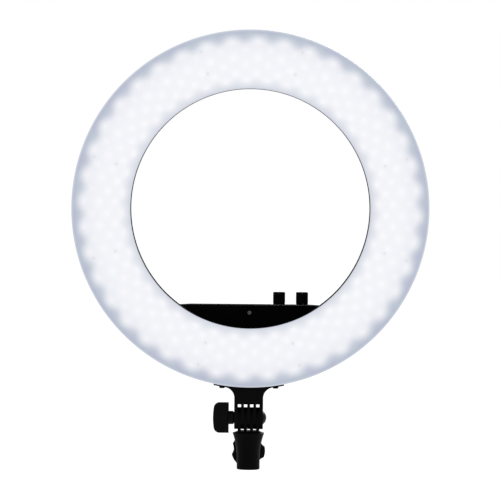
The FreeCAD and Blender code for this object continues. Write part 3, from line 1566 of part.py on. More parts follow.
def check():
    """Stop if anything failed: no object may be in error, no piece empty or invalid."""
    for item in doc.Objects:
        if "Invalid" in item.State or "Error" in item.State:
            raise RuntimeError(f"{item.Name} ({item.Label}) failed: {item.State}")
    for item in subparts():
        if item.Shape.isNull() or not item.Shape.isValid() or not item.Shape.Solids:
            raise RuntimeError(f"{item.Label} has no valid solid")


build()
check()
os.makedirs("parts", exist_ok=True)
for item in subparts():
    item.Shape.exportStep(f"parts/{item.Label}.step")
    print(item.Label, len(item.Shape.Solids), round(item.Shape.Volume, 1))
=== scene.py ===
# %% [markdown]
# # A large LED ring light, dressed in Blender
# The object is a photographer's ring light: a white diffuser ring with 240 LEDs behind it, a black
# control box behind its foot, and a tilting stand adapter with a clamp handle and a star knob.
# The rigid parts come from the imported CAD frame. This script gives each of them its finish, builds the
# diffuser again as a smooth swept ring, and adds the printed and moulded details.

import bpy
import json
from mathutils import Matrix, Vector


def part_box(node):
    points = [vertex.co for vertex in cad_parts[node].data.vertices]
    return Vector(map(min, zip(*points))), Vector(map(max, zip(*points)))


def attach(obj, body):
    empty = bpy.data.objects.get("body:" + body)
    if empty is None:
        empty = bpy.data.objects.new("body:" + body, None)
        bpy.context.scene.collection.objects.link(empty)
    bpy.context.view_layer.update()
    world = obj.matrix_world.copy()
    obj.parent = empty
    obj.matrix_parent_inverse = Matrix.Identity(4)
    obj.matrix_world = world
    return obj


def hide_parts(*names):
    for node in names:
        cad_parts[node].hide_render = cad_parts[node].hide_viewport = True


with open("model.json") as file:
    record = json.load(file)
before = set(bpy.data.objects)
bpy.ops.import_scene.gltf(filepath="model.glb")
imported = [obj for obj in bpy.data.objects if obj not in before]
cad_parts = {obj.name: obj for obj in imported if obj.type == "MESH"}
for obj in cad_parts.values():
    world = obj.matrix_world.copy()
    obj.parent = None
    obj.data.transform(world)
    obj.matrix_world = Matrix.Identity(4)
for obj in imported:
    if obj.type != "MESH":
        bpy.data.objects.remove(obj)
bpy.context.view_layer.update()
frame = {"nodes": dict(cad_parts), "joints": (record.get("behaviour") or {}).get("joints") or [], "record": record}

# %% [markdown]
# ## Landmarks
# Places come from the frame: the boxes of the CAD nodes say where the ring, the control box and the
# dials are. Small sizes are written in millimetres, times MM, because Blender's unit here is the metre.
# Z is up, and the light faces -Y.

# %% Landmarks of the ring and the control box
import json
import math

import bmesh
import bpy
from mathutils import Matrix, Vector

MM = 0.001

ring_low, ring_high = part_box("diffuser_cover")
housing_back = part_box("rear_housing")[1].y
cover_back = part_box("box_cover")[1].y
RING_RADIUS = 240.0 * MM
RING_BAND = 79.2 * MM
HOLE_RADIUS = RING_RADIUS - RING_BAND
RING_CENTRE = Vector((0.0, 0.0, (ring_low.z + ring_high.z) / 2))
print("ring centre:", [round(v, 4) for v in RING_CENTRE])
print("ring across in the frame:", round(ring_high.x - ring_low.x, 4))

# %% [markdown]
# ## The camera
# The photograph looks at the light from straight ahead and from a little above its middle, with a long
# lens, so the ring stays a true circle. The light leans half a degree, which a roll of the camera gives.
# The camera stands five metres off, and its lens is worked out from the width of the view at the ring.

# %% Camera
VIEW_WIDTH = 670.0 * MM
VIEW_BELOW_CENTRE = 55.2 * MM
CAMERA_DISTANCE = 5.0
CAMERA_RISE = 100.0 * MM
CAMERA_LEAN = 0.5

camera_data = bpy.data.cameras.new("camera")
camera = bpy.data.objects.new("camera", camera_data)
bpy.context.scene.collection.objects.link(camera)
bpy.context.scene.camera = camera
aim = RING_CENTRE + Vector((0.0, ring_low.y, -VIEW_BELOW_CENTRE))
camera.location = (aim.x, ring_low.y - CAMERA_DISTANCE, RING_CENTRE.z + CAMERA_RISE)
camera_data.lens = camera_data.sensor_width * (aim - camera.location).length / VIEW_WIDTH
camera_data.clip_end = 50.0
look = (aim - camera.location).to_track_quat("-Z", "Y").to_matrix()
roll = Matrix.Rotation(math.radians(CAMERA_LEAN), 3, "Z")
camera.rotation_euler = (look @ roll).to_euler()
print("lens:", round(camera_data.lens, 1), "mm")

# %% [markdown]
# ## Node trees, written as formulas
# A finish here is a formula of the point on the object. Linking dozens of Math nodes by hand hides the
# formula, so one small class lets plain arithmetic build the nodes: adding two fields makes an Add node.
# One helper adds any node and either links or sets each of its inputs.

# %% Helpers for node trees
def add_node(tree, kind, inputs=None, **settings):
    """A new node. Each input gets a link if its value is a socket, and a plain value otherwise."""
    node = tree.nodes.new(kind)
    for name, value in settings.items():
        setattr(node, name, value)
    for name, value in (inputs or {}).items():
        value = value.socket if isinstance(value, Field) else value
        if isinstance(value, bpy.types.NodeSocket):
            tree.links.new(value, node.inputs[name])
        else:
            node.inputs[name].default_value = value
    return node


class Field:
    """A number that a node tree works out at every point."""

    def __init__(self, tree, socket):
        self.tree = tree
        self.socket = socket

    def maths(self, operation, *others):
        """A Math node whose first value is this field."""
        inputs = dict(enumerate((self, *others)))
        node = add_node(self.tree, "ShaderNodeMath", inputs, operation=operation)
        return Field(self.tree, node.outputs[0])

    def __add__(self, other):
        return self.maths("ADD", other)

    def __sub__(self, other):
        return self.maths("SUBTRACT", other)

    def __mul__(self, other):
        return self.maths("MULTIPLY", other)

    def __truediv__(self, other):
        return self.maths("DIVIDE", other)

    def __pow__(self, other):
        return self.maths("POWER", other)

    def wrap(self, low, high):
        return self.maths("WRAP", high, low)

    def step(self, start, end, rise="LINEAR"):
        """0 before start, 1 after end, and an even or a smooth rise in between."""
        node = add_node(self.tree, "ShaderNodeMapRange", {
            "Value": self, "From Min": start, "From Max": end}, interpolation_type=rise)
        return Field(self.tree, node.outputs["Result"])


# %% [markdown]
# ## Moulded plastic and painted metal
# Most of the light is black plastic. Spark-eroded moulds leave a fine even grain, the colour drifts a
# little where the plastic cooled, and fingers polish it here and there. A black that reads as black in
# soft light needs a low specular level, so that the pale room doesn't turn it grey.
# Each finish is a row of one table, and the numbers say what differs: grain, depth and shine.

# %% Plastic and paint
def new_material(name, colour):
    """A material with only its Principled shader, and the colour that the viewport shows."""
    material = bpy.data.materials.new(name)
    material.use_nodes = True
    material.diffuse_color = (*colour, 1.0)
    tree = material.node_tree
    return material, tree, tree.nodes["Principled BSDF"]


def object_point(tree):
    return add_node(tree, "ShaderNodeTexCoord").outputs["Object"]


def noise(tree, size, detail=2.0, stretch=None):
    """Smooth noise on the object, with patches of the given size in metres."""
    point = object_point(tree)
    if stretch:
        point = add_node(tree, "ShaderNodeMapping", {"Vector": point, "Scale": stretch}).outputs[0]
    node = add_node(tree, "ShaderNodeTexNoise", {"Vector": point, "Scale": 1.0 / size, "Detail": detail})
    return Field(tree, node.outputs["Fac"])


def opaque(colour):
    """A colour with its alpha, or a socket as it is."""
    return colour if isinstance(colour, bpy.types.NodeSocket) else (*colour, 1.0)


def blend_colours(tree, share, first, second):
    """The first colour where share is 0, and the second where it is 1."""
    node = add_node(tree, "ShaderNodeMix", data_type="RGBA")
    for place, value in ((0, share), (6, opaque(first)), (7, opaque(second))):
        value = value.socket if isinstance(value, Field) else value
        if isinstance(value, bpy.types.NodeSocket):
            tree.links.new(value, node.inputs[place])
        else:
            node.inputs[place].default_value = value
    return node.outputs[2]


PATCH_SIZE = 30.0 * MM
RUB_SIZE = 12.0 * MM
RUB_SHARE = 0.05
GRAIN_STRENGTH = 0.6


def moulded(name, colour, roughness, grain, depth, shine, drift=0.20):
    """Moulded or powder-coated stuff: a drifting colour over a bumpy grain."""
    material, tree, shader = new_material(name, colour)
    darker = [value * (1.0 - drift) for value in colour]
    lighter = [value * (1.0 + drift) for value in colour]
    patches = noise(tree, PATCH_SIZE, 4.0).step(0.3, 0.7)
    tree.links.new(blend_colours(tree, patches, darker, lighter), shader.inputs["Base Color"])
    rubbed = noise(tree, RUB_SIZE, 3.0).step(0.3, 0.7)
    worn = rubbed * RUB_SHARE + (roughness - RUB_SHARE / 2)
    tree.links.new(worn.socket, shader.inputs["Roughness"])
    shader.inputs["Specular IOR Level"].default_value = shine
    bump = add_node(tree, "ShaderNodeBump", {
        "Height": noise(tree, grain), "Strength": GRAIN_STRENGTH, "Distance": depth})
    tree.links.new(bump.outputs[0], shader.inputs["Normal"])
    return material


# A row: material, colour, roughness, size and depth of the grain in millimetres, specular level, drift
PLASTICS = {
    "housing": ("housing_plastic", (0.0080, 0.0080, 0.0086), 0.52, 0.5, 0.05, 0.22),
    "box": ("box_plastic", (0.0012, 0.0012, 0.0015), 0.80, 0.4, 0.03, 0.008),
    "cover": ("cover_plastic", (0.0130, 0.0130, 0.0138), 0.62, 0.5, 0.04, 0.06),
    "bracket": ("powder_coat", (0.0011, 0.0011, 0.0014), 0.52, 1.2, 0.03, 0.035),
    "socket": ("glass_filled_plastic", (0.0010, 0.0010, 0.0013), 0.55, 0.8, 0.03, 0.03),
    "knob": ("knob_plastic", (0.0010, 0.0010, 0.0013), 0.42, 0.6, 0.02, 0.045),
    "dial": ("dial_plastic", (0.0010, 0.0010, 0.0013), 0.60, 0.3, 0.02, 0.02),
    "plate": ("plate_plastic", (0.0060, 0.0060, 0.0064), 0.55, 0.5, 0.04, 0.20),
    "latch": ("latch_plastic", (0.0200, 0.0200, 0.0215), 0.45, 0.4, 0.03, 0.30),
    "rocker": ("rocker_plastic", (0.0050, 0.0050, 0.0052), 0.22, 0.8, 0.01, 0.35),
    "component": ("black_epoxy", (0.0200, 0.0200, 0.0210), 0.50, 0.3, 0.03, 0.40),
    "lead": ("lead_insulation", (0.0100, 0.0100, 0.0105), 0.65, 0.6, 0.03, 0.30),
    "plug": ("white_nylon", (0.7400, 0.7300, 0.6900), 0.45, 0.5, 0.03, 0.40, 0.04),
    "board": ("white_solder_mask", (0.7800, 0.7900, 0.7900), 0.30, 0.9, 0.02, 0.45, 0.03),
    "control_board": ("green_solder_mask", (0.0150, 0.1200, 0.0450), 0.30, 0.9, 0.02, 0.45),
    "led": ("phosphor", (0.8800, 0.7600, 0.3600), 0.35, 0.4, 0.03, 0.45, 0.06),
}
finishes = {}
for slot, (name, colour, roughness, grain, depth, *shine_and_drift) in PLASTICS.items():
    finishes[slot] = moulded(name, colour, roughness, grain * MM, depth * MM, *shine_and_drift)
print("plastic and paint finishes:", len(finishes))

# %% [markdown]
# ## Metals
# Screws, bushes and contacts are turned or stamped. Turning leaves fine rings and stamping leaves lines,
# so the noise under their roughness is stretched along one axis. A metal's look is its reflection, and
# the base colour is only its tint.

# %% Metal finishes
LINE_SIZE = 0.4 * MM
LINE_DEPTH = 0.01 * MM
LINE_STRENGTH = 0.4
LINE_SHARE = 0.2


def metal(name, colour, roughness, stretch):
    """Bare or plated metal with fine tool lines."""
    material, tree, shader = new_material(name, colour)
    lines = noise(tree, LINE_SIZE, 2.0, stretch)
    worn = [value * 0.8 for value in colour]
    tree.links.new(blend_colours(tree, lines.step(0.35, 0.65), worn, colour), shader.inputs["Base Color"])
    streaks = lines * LINE_SHARE + (roughness - LINE_SHARE / 2)
    tree.links.new(streaks.socket, shader.inputs["Roughness"])
    shader.inputs["Metallic"].default_value = 1.0
    bump = add_node(tree, "ShaderNodeBump", {
        "Height": lines, "Strength": LINE_STRENGTH, "Distance": LINE_DEPTH})
    tree.links.new(bump.outputs[0], shader.inputs["Normal"])
    return material


finishes.update({
    "steel": metal("zinc_plated_steel", (0.36, 0.37, 0.39), 0.38, (1.0, 1.0, 0.2)),
    "black_steel": metal("blackened_steel", (0.009, 0.009, 0.010), 0.50, (1.0, 0.2, 1.0)),
    "grey_steel": metal("dull_grey_steel", (0.085, 0.086, 0.090), 0.55, (1.0, 0.2, 1.0)),
    "aluminium": metal("mill_aluminium", (0.30, 0.31, 0.32), 0.60, (1.0, 1.0, 0.1)),
    "brass": metal("turned_brass", (0.68, 0.47, 0.17), 0.30, (1.0, 1.0, 0.15)),
    "contact": metal("gold_plating", (0.83, 0.60, 0.22), 0.25, (0.3, 1.0, 1.0)),
})
print("finishes so far:", len(finishes))

# %% [markdown]
# ## The display's glass and its window
# The display is a dark module under a clear acrylic window. Dark glass is a glossy black whose tone
# shifts a little, and the window is a real transmitting shader, so the digits can be seen through it.
# Its coat keeps glare off the digits, which a refractive index just over that of air gives.

# %% Display finishes
HAZE_SIZE = 6.0 * MM
COATED_IOR = 1.03


def clear_acrylic():
    material, tree, shader = new_material("clear_acrylic", (0.8, 0.85, 0.9))
    haze = noise(tree, HAZE_SIZE, 3.0)
    tint = blend_colours(tree, haze, (0.96, 0.98, 0.98), (1.0, 1.0, 1.0))
    tree.links.new(tint, shader.inputs["Base Color"])
    tree.links.new((haze * 0.03).socket, shader.inputs["Roughness"])
    shader.inputs["Transmission Weight"].default_value = 1.0
    shader.inputs["IOR"].default_value = COATED_IOR
    return material


DARK_GLASS = (0.0030, 0.0045, 0.0055)
finishes["display"] = moulded("dark_display_glass", DARK_GLASS, 0.35, 2.0 * MM, 0.0005 * MM, 0.06)
finishes["window"] = clear_acrylic()
print("finishes with the display's:", len(finishes))

# %% [markdown]
# ## The lit diffuser
# The diffuser is 2 mm of frosted white acrylic with the LEDs 20 mm behind it. What the eye sees is the
# light that leaves it: even and nearly white in the middle of the band, a faint brighter spot over each
# LED, and a cool grey shade towards both rims, where no LED is near. The outer shade is scalloped,
# because the outer row's spots push it back. Tracing real light through the acrylic would be slow and
# noisy, so the surface glows by a formula of its distance from the ring's middle and its angle.
# Less than a third of the tone is the same pattern, shades and spots included, painted into the white plastic's
# colour for the studio to light, and the rest is glow.
# The shade drifts between violet and blue, as it does behind real acrylic.

# %% Where a point lies on the ring
# Lengths are millimetres and angles are degrees here, as in ring_fields
LEDS_IN_ROW = 40
LED_TURN = 360.0 / LEDS_IN_ROW
FIRST_ROW = 171.5
ROW_PITCH = 10.4
SPOT_SPREAD = 3.5
FIRST_LED = LED_TURN / 4


def ring_fields(tree):
    """The distance from the ring's axis in millimetres, and the angle in degrees."""
    split = add_node(tree, "ShaderNodeSeparateXYZ", {"Vector": object_point(tree)})
    across = Field(tree, split.outputs["X"]) / MM
    up = Field(tree, split.outputs["Z"]) / MM - RING_CENTRE.z / MM
    radius = (across * across + up * up) ** 0.5
    angle = up.maths("ARCTAN2", across) * math.degrees(1.0)
    return radius, angle


def led_spots(radius, angle, row_start, turn_start):
    """A soft spot over each LED of every second row, and the angle within one LED's share."""
    out = (radius - row_start).wrap(-ROW_PITCH, ROW_PITCH)
    around = (angle - turn_start).wrap(-LED_TURN / 2, LED_TURN / 2)
    along = around * radius * math.radians(1.0)
    near = (out * out + along * along) * (-0.5 / SPOT_SPREAD ** 2)
    return near.maths("EXPONENT"), around


# %% The diffuser's finish
LIT_WHITE = (0.878, 0.888, 0.925)
SPOT_WHITE = (0.932, 0.940, 0.972)
WARM_SPOT = (0.935, 0.915, 0.948)
VIOLET_SHADE = (0.458, 0.488, 0.605)
BLUE_SHADE = (0.466, 0.521, 0.610)
SCREW_SHADE = (0.640, 0.650, 0.690)
STUDIO_SHARE = 0.3
GLOW = 0.76
# Pairs of radii between which something fades in, in millimetres from the ring's axis
SPOTS_BEGIN = (168.0, 171.0)
SPOTS_END = (229.0, 226.0)
OUTER_HAZE = (205.0, 218.0)
OUTER_SHADE = (219.0, 238.5)
OUTER_SCALLOPS = (238.0, 229.0)
RIM_HIGHLIGHT = (237.0, 239.0)
INNER_SCALLOPS = (162.0, 170.0)
INNER_SHADE_START = 177.0
INNER_SHADE_WIDTH = 16.0
INNER_SHADE_CURVE = 1.6
INNER_SHARE = 0.60
HAZE_SHARE = 0.11
RIM_HIGHLIGHT_GAIN = 0.25
OUTER_PUSH = 3.4
INNER_PUSH = 2.2
BOARD_SCREW_TURN = 27.0
BOARD_SCREW_ROWS = (189.5, 220.4)
DOT_SPREAD = 1.5
DOT_SHARE = 0.5
WARM_SIZE = 20.0 * MM
CAST_SIZE = 14.0 * MM
FROST_SIZE = 0.25 * MM


def lit_diffuser():
    material, tree, shader = new_material("lit_diffuser", (0.9, 0.92, 0.95))
    radius, angle = ring_fields(tree)
    inner_spots, inner_around = led_spots(radius, angle, FIRST_ROW, FIRST_LED)
    outer_spots, outer_around = led_spots(radius, angle, FIRST_ROW + ROW_PITCH, FIRST_LED + LED_TURN / 2)
    spots = (inner_spots + outer_spots) * radius.step(*SPOTS_BEGIN) * radius.step(*SPOTS_END)

    # Each shade is pushed back over every LED of the row beside it
    outer_ripple = (outer_around * (2.0 * math.pi / LED_TURN)).maths("COSINE")
    from_middle = radius - outer_ripple * radius.step(*OUTER_SCALLOPS) * OUTER_PUSH
    haze = from_middle.step(*OUTER_HAZE) * HAZE_SHARE
    outer = haze + from_middle.step(*OUTER_SHADE, "SMOOTHSTEP") * (1.0 - HAZE_SHARE)
    # A painted highlight lightens the shade along the rounded outer edge
    outer = outer * (radius.step(*RIM_HIGHLIGHT) * -RIM_HIGHLIGHT_GAIN + 1.0)
    inner_ripple = (inner_around * (2.0 * math.pi / LED_TURN)).maths("COSINE")
    to_middle = radius + inner_ripple * radius.step(*INNER_SCALLOPS) * INNER_PUSH
    inside = (to_middle * -1.0 + INNER_SHADE_START).maths("MAXIMUM", 0.0) / INNER_SHADE_WIDTH
    inner = inside ** INNER_SHADE_CURVE * INNER_SHARE
    shade = (outer + inner).maths("MINIMUM", 1.0)

    # Four screws hold the board of each quarter, and each shows as a faint dark dot of painted shade
    quarter_turn = (angle - 45.0).wrap(-45.0, 45.0).maths("ABSOLUTE")
    aside = (quarter_turn - BOARD_SCREW_TURN) * radius * math.radians(1.0)
    off_inner, off_outer = ((radius - row).maths("ABSOLUTE") for row in BOARD_SCREW_ROWS)
    off_row = off_inner.maths("MINIMUM", off_outer)
    dots = ((aside * aside + off_row * off_row) * (-0.5 / DOT_SPREAD ** 2)).maths("EXPONENT")

    tint = noise(tree, WARM_SIZE, 1.0).step(0.45, 0.65)
    spot_colour = blend_colours(tree, tint, SPOT_WHITE, WARM_SPOT)
    colour = blend_colours(tree, spots.maths("MINIMUM", 1.0), LIT_WHITE, spot_colour)
    cast = noise(tree, CAST_SIZE, 1.0).step(0.4, 0.6)
    colour = blend_colours(tree, shade, colour, blend_colours(tree, cast, VIOLET_SHADE, BLUE_SHADE))
    colour = blend_colours(tree, dots * DOT_SHARE, colour, SCREW_SHADE)
    # The base colour repeats the glow's pattern, so its painted shades, spots and screw shadows lie in the
    # plastic's colour too
    plain = blend_colours(tree, STUDIO_SHARE, (0.0, 0.0, 0.0), colour)
    tree.links.new(plain, shader.inputs["Base Color"])
    tree.links.new(colour, shader.inputs["Emission Color"])
    shader.inputs["Emission Strength"].default_value = GLOW
    shader.inputs["Specular IOR Level"].default_value = 0.2
    frost = noise(tree, FROST_SIZE)
    tree.links.new((frost * 0.1 + 0.45).socket, shader.inputs["Roughness"])
    bump = add_node(tree, "ShaderNodeBump", {"Height": frost, "Strength": 0.3, "Distance": 0.01 * MM})
    tree.links.new(bump.outputs[0], shader.inputs["Normal"])
    return material


finishes["diffuser"] = lit_diffuser()
print("finishes:", len(finishes))

# %% [markdown]
# ## Dress the CAD nodes
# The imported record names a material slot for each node, so one loop gives every node the finish of its
# slot. Nothing about the CAD meshes themselves changes.

# %% Assign the finishes
slot_of = {row["node"]: row["material_slot"] for row in frame["record"]["subparts"]}
for name, node in frame["nodes"].items():
    node.data.materials.clear()
    node.data.materials.append(finishes[slot_of[name]])
print("dressed nodes:", len(slot_of))

# %% [markdown]
# ## The diffuser as a swept ring
# The real cover is moulded in one piece: a flat annulus with a skirt at both rims and a small radius
# between them. That is one outline carried round a circle, a rule that Geometry Nodes follow exactly:
# the modifier's own mesh is the outline, the tree rounds its marked corners and sweeps it round the
# ring. It gives a smoother rim than the CAD facets, so it stands for the CAD cover.

# %% A tree that sweeps an outline round the ring
def new_tree(name, inputs):
    """A Geometry Nodes tree with a geometry input and named size inputs."""
    tree = bpy.data.node_groups.new(name, "GeometryNodeTree")
    tree.is_modifier = True
    tree.interface.new_socket("Geometry", in_out="OUTPUT", socket_type="NodeSocketGeometry")
    tree.interface.new_socket("Geometry", in_out="INPUT", socket_type="NodeSocketGeometry")
    for label, kind in inputs.items():
        tree.interface.new_socket(label, in_out="INPUT", socket_type="NodeSocket" + kind)
    return tree, tree.nodes.new("NodeGroupInput").outputs


def finish_tree(tree, geometry, finish):
    """End a tree as the export needs it: real geometry, with its material set."""
    real = add_node(tree, "GeometryNodeRealizeInstances", {"Geometry": geometry})
    dressed = add_node(tree, "GeometryNodeSetMaterial", {"Geometry": real.outputs[0], "Material": finish})
    output = tree.nodes.new("NodeGroupOutput")
    tree.links.new(dressed.outputs[0], output.inputs[0])


def grow(name, start, tree, sizes, body):
    """Run a tree on a start mesh, keep the result as a plain mesh, and hang it on a body."""
    piece = bpy.data.objects.new(name, start)
    bpy.context.scene.collection.objects.link(piece)
    modifier = piece.modifiers.new("grow", "NODES")
    modifier.node_group = tree
    for socket in tree.interface.items_tree:
        if socket.name in sizes:
            modifier[socket.identifier] = sizes[socket.name]
    evaluated = piece.evaluated_get(bpy.context.evaluated_depsgraph_get())
    mesh = bpy.data.meshes.new_from_object(evaluated)
    piece.modifiers.remove(modifier)
    piece.data = mesh
    return settle(piece, body)


WELD = 0.0005 * MM
SHARP_ANGLE = 35.0
ROUND_STEPS = 6
CORNER_STEPS = 8


def settle(piece, body):
    """Turn the faces outwards, smooth what is round, and let the piece ride on its body."""
    mesh = piece.data
    work = bmesh.new()
    work.from_mesh(mesh)
    bmesh.ops.remove_doubles(work, verts=work.verts, dist=WELD)
    loose = [edge for edge in work.edges if not edge.link_faces]
    bmesh.ops.delete(work, geom=loose, context="EDGES")
    bmesh.ops.recalc_face_normals(work, faces=work.faces)
    work.to_mesh(mesh)
    work.free()
    mesh.shade_smooth()
    mesh.set_sharp_from_angle(angle=math.radians(SHARP_ANGLE))
    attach(piece, body)
    print(piece.name, "faces:", len(mesh.polygons))
    return piece


def circle_path(tree, sizes):
    circle = add_node(tree, "GeometryNodeCurvePrimitiveCircle", {
        "Radius": sizes["Ring Radius"], "Resolution": sizes["Steps"]}, mode="RADIUS")
    return circle.outputs[0]


def rectangle_path(tree, sizes):
    sides = add_node(tree, "GeometryNodeCurvePrimitiveQuadrilateral", {
        "Width": sizes["Width"], "Height": sizes["Height"]})
    rounded = add_node(tree, "GeometryNodeFilletCurve", {
        "Curve": sides.outputs[0], "Radius": sizes["Corner"], "Limit Radius": True,
        "Count": CORNER_STEPS}, mode="POLY")
    return rounded.outputs[0]


def sweep_tree(finish, path, path_sizes):
    """Round an outline's marked corners and carry it along a path that lies square to Y."""
    tree, sizes = new_tree("sweep_" + path.__name__, {**path_sizes, "Centre Height": "Float"})
    outline = add_node(tree, "GeometryNodeMeshToCurve", {"Mesh": sizes["Geometry"]})
    rounding = add_node(tree, "GeometryNodeInputNamedAttribute", {"Name": "rounding"}, data_type="FLOAT")
    rounded = add_node(tree, "GeometryNodeFilletCurve", {
        "Curve": outline.outputs[0], "Radius": rounding.outputs[0], "Limit Radius": True,
        "Count": ROUND_STEPS}, mode="POLY")
    level = add_node(tree, "GeometryNodeSetCurveNormal", {"Curve": path(tree, sizes)}, mode="Z_UP")
    ring = add_node(tree, "GeometryNodeCurveToMesh", {
        "Curve": level.outputs[0], "Profile Curve": rounded.outputs[0]})
    place = add_node(tree, "ShaderNodeCombineXYZ", {"Z": sizes["Centre Height"]})
    upright = add_node(tree, "GeometryNodeTransform", {
        "Geometry": ring.outputs[0], "Translation": place.outputs[0], "Rotation": (math.pi / 2, 0.0, 0.0)})
    finish_tree(tree, upright.outputs[0], finish)
    return tree


# %% The diffuser's outline and the ring it makes
COVER_WALL = 2.0 * MM
SKIRT_WALL = 1.6 * MM
SKIRT_DEPTH = 8.0 * MM
FRONT_ROUND = 2.5 * MM
SPIN_STEPS = 360
RING_SIZES = {"Ring Radius": "Float", "Steps": "Int"}


def outline_mesh(name, corners):
    """A closed outline as a mesh of edges. Each corner is its distance out, its depth, its rounding."""
    mesh = bpy.data.meshes.new(name)
    count = len(corners)
    points = [(out, depth, 0.0) for out, depth, _ in corners]
    mesh.from_pydata(points, [(k, (k + 1) % count) for k in range(count)], [])
    rounding = mesh.attributes.new("rounding", "FLOAT", "POINT")
    rounding.data.foreach_set("value", [corner[2] for corner in corners])
    return mesh


front = ring_low.y
skirt_end = front + SKIRT_DEPTH
inner_wall = HOLE_RADIUS + SKIRT_WALL
outer_wall = RING_RADIUS - SKIRT_WALL
corners = [
    (RING_RADIUS, skirt_end, 0.0), (RING_RADIUS, front, FRONT_ROUND),
    (HOLE_RADIUS, front, FRONT_ROUND), (HOLE_RADIUS, skirt_end, 0.0),
    (inner_wall, skirt_end, 0.0), (inner_wall, front + COVER_WALL, 0.0),
    (outer_wall, front + COVER_WALL, 0.0), (outer_wall, skirt_end, 0.0)]
from_ring = [(out - RING_RADIUS, depth, rounding) for out, depth, rounding in corners]
diffuser_outline = outline_mesh("diffuser_outline", from_ring)
diffuser_tree = sweep_tree(finishes["diffuser"], circle_path, RING_SIZES)
diffuser = grow("diffuser_ring", diffuser_outline, diffuser_tree, {
    "Ring Radius": RING_RADIUS, "Steps": SPIN_STEPS, "Centre Height": RING_CENTRE.z},
    "ring_head")
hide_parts("diffuser_cover")
for end, corner in (("from", 0), ("to", 6)):
    print("diffuser", end, [round(v, 4) for v in diffuser.bound_box[corner]])

# %% [markdown]
# ## A dark band for the shade in the hole
# A thin black band lines the hole. It stands in for the shade on the inside of the white cover's skirt, and it
# hides the joint between the skirt and the housing. From the front only its edge shows, as the fine dark line
# round the hole, which is painted shade. It is another outline swept round a circle, so it takes the diffuser's
# tree with another finish.

# %% Dark band for the shade in the hole
BAND_THICK = 0.20 * MM
BAND_SET_BACK = 1.2 * MM
band_front = front + BAND_SET_BACK
band_outline = outline_mesh("band_outline", [
    (0.0, band_front, 0.0), (BAND_THICK, band_front, 0.0), (BAND_THICK, housing_back, 0.0),
    (0.0, housing_back, 0.0)])
grow("hole_band", band_outline, sweep_tree(finishes["box"], circle_path, RING_SIZES), {
    "Ring Radius": HOLE_RADIUS - BAND_THICK, "Steps": SPIN_STEPS, "Centre Height": RING_CENTRE.z},
    "ring_head")

# %% [markdown]
# ## Friction washers of the tilt knuckle
# Nine fingers interleave at the knuckle, and a thin fibre washer in each gap lets the clamp squeeze them
# without scuffing. A washer is a flat ring, and eight of them follow one another along the bolt at two
# alternating steps. That repeats, so a tree makes one ring and sets it on a point in every gap.

# %% A tree that sets rings along the bolt
WASHER_THICK = 0.08 * MM
WASHER_RADIUS = 15.2 * MM
WASHER_BORE = 4.3 * MM
WASHER_STEPS = 64
SOCKET_FINGERS = 4
FINGER_PITCH = 8.27 * MM
GAP_FROM_FINGER = 2.2 * MM


def ring_row_tree(finish):
    """Flat rings square to X, two beside each of a row of fingers."""
    tree, sizes = new_tree("friction_washers", {
        "Radius": "Float", "Bore": "Float", "Thickness": "Float", "Fingers": "Int", "Pitch": "Float",
        "Beside": "Float", "Height": "Float"})
    number = Field(tree, add_node(tree, "GeometryNodeInputIndex").outputs[0])
    finger = number.maths("MULTIPLY", 0.5).maths("FLOOR")
    side = (number - finger * 2.0) * 2.0 - 1.0
    middle = (Field(tree, sizes["Fingers"]) - 1.0) * 0.5
    across = (finger - middle) * sizes["Pitch"] + side * sizes["Beside"]
    place = add_node(tree, "ShaderNodeCombineXYZ", {"X": across, "Z": sizes["Height"]})
    spots = add_node(tree, "GeometryNodePoints", {
        "Count": Field(tree, sizes["Fingers"]) * 2.0, "Position": place.outputs[0]})
    path = add_node(tree, "GeometryNodeCurvePrimitiveCircle", {
        "Radius": (Field(tree, sizes["Radius"]) + sizes["Bore"]) * 0.5,
        "Resolution": WASHER_STEPS}, mode="RADIUS")
    level = add_node(tree, "GeometryNodeSetCurveNormal", {"Curve": path.outputs[0]}, mode="Z_UP")
    section = add_node(tree, "GeometryNodeCurvePrimitiveQuadrilateral", {
        "Width": Field(tree, sizes["Radius"]) - sizes["Bore"], "Height": sizes["Thickness"]})
    ring = add_node(tree, "GeometryNodeCurveToMesh", {
        "Curve": level.outputs[0], "Profile Curve": section.outputs[0]})
    row = add_node(tree, "GeometryNodeInstanceOnPoints", {
        "Points": spots.outputs[0], "Instance": ring.outputs[0], "Rotation": (0.0, math.pi / 2, 0.0)})
    finish_tree(tree, row.outputs[0], finish)
    return tree


def middle_of(name):
    """The middle of a CAD node's box."""
    low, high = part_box(name)
    return (low + high) / 2


grow("friction_washers", bpy.data.meshes.new("friction_washers"), ring_row_tree(finishes["socket"]), {
    "Radius": WASHER_RADIUS, "Bore": WASHER_BORE, "Thickness": WASHER_THICK, "Fingers": SOCKET_FINGERS,
    "Pitch": FINGER_PITCH, "Beside": GAP_FROM_FINGER, "Height": middle_of("tilt_bolt").z},
    "stand_adapter")

# %% [markdown]
# ## Marks and ribs that lie on a surface
# The scales, numbers and switch marks are pad-printed: a film of ink that follows what it lies on. The
# grip ribs are raised the same way, only thicker. Each starts as a flat outline in front of its surface,
# and a tree drops the corners onto the CAD node with Raycast and gives the outline its thickness. Placing
# them by hand would miss the slanted faces of the rocker.

# %% Nodes that lay outlines on a surface
def scaled(tree, vector, factor):
    return add_node(tree, "ShaderNodeVectorMath", {0: vector, "Scale": factor}, operation="SCALE").outputs[0]


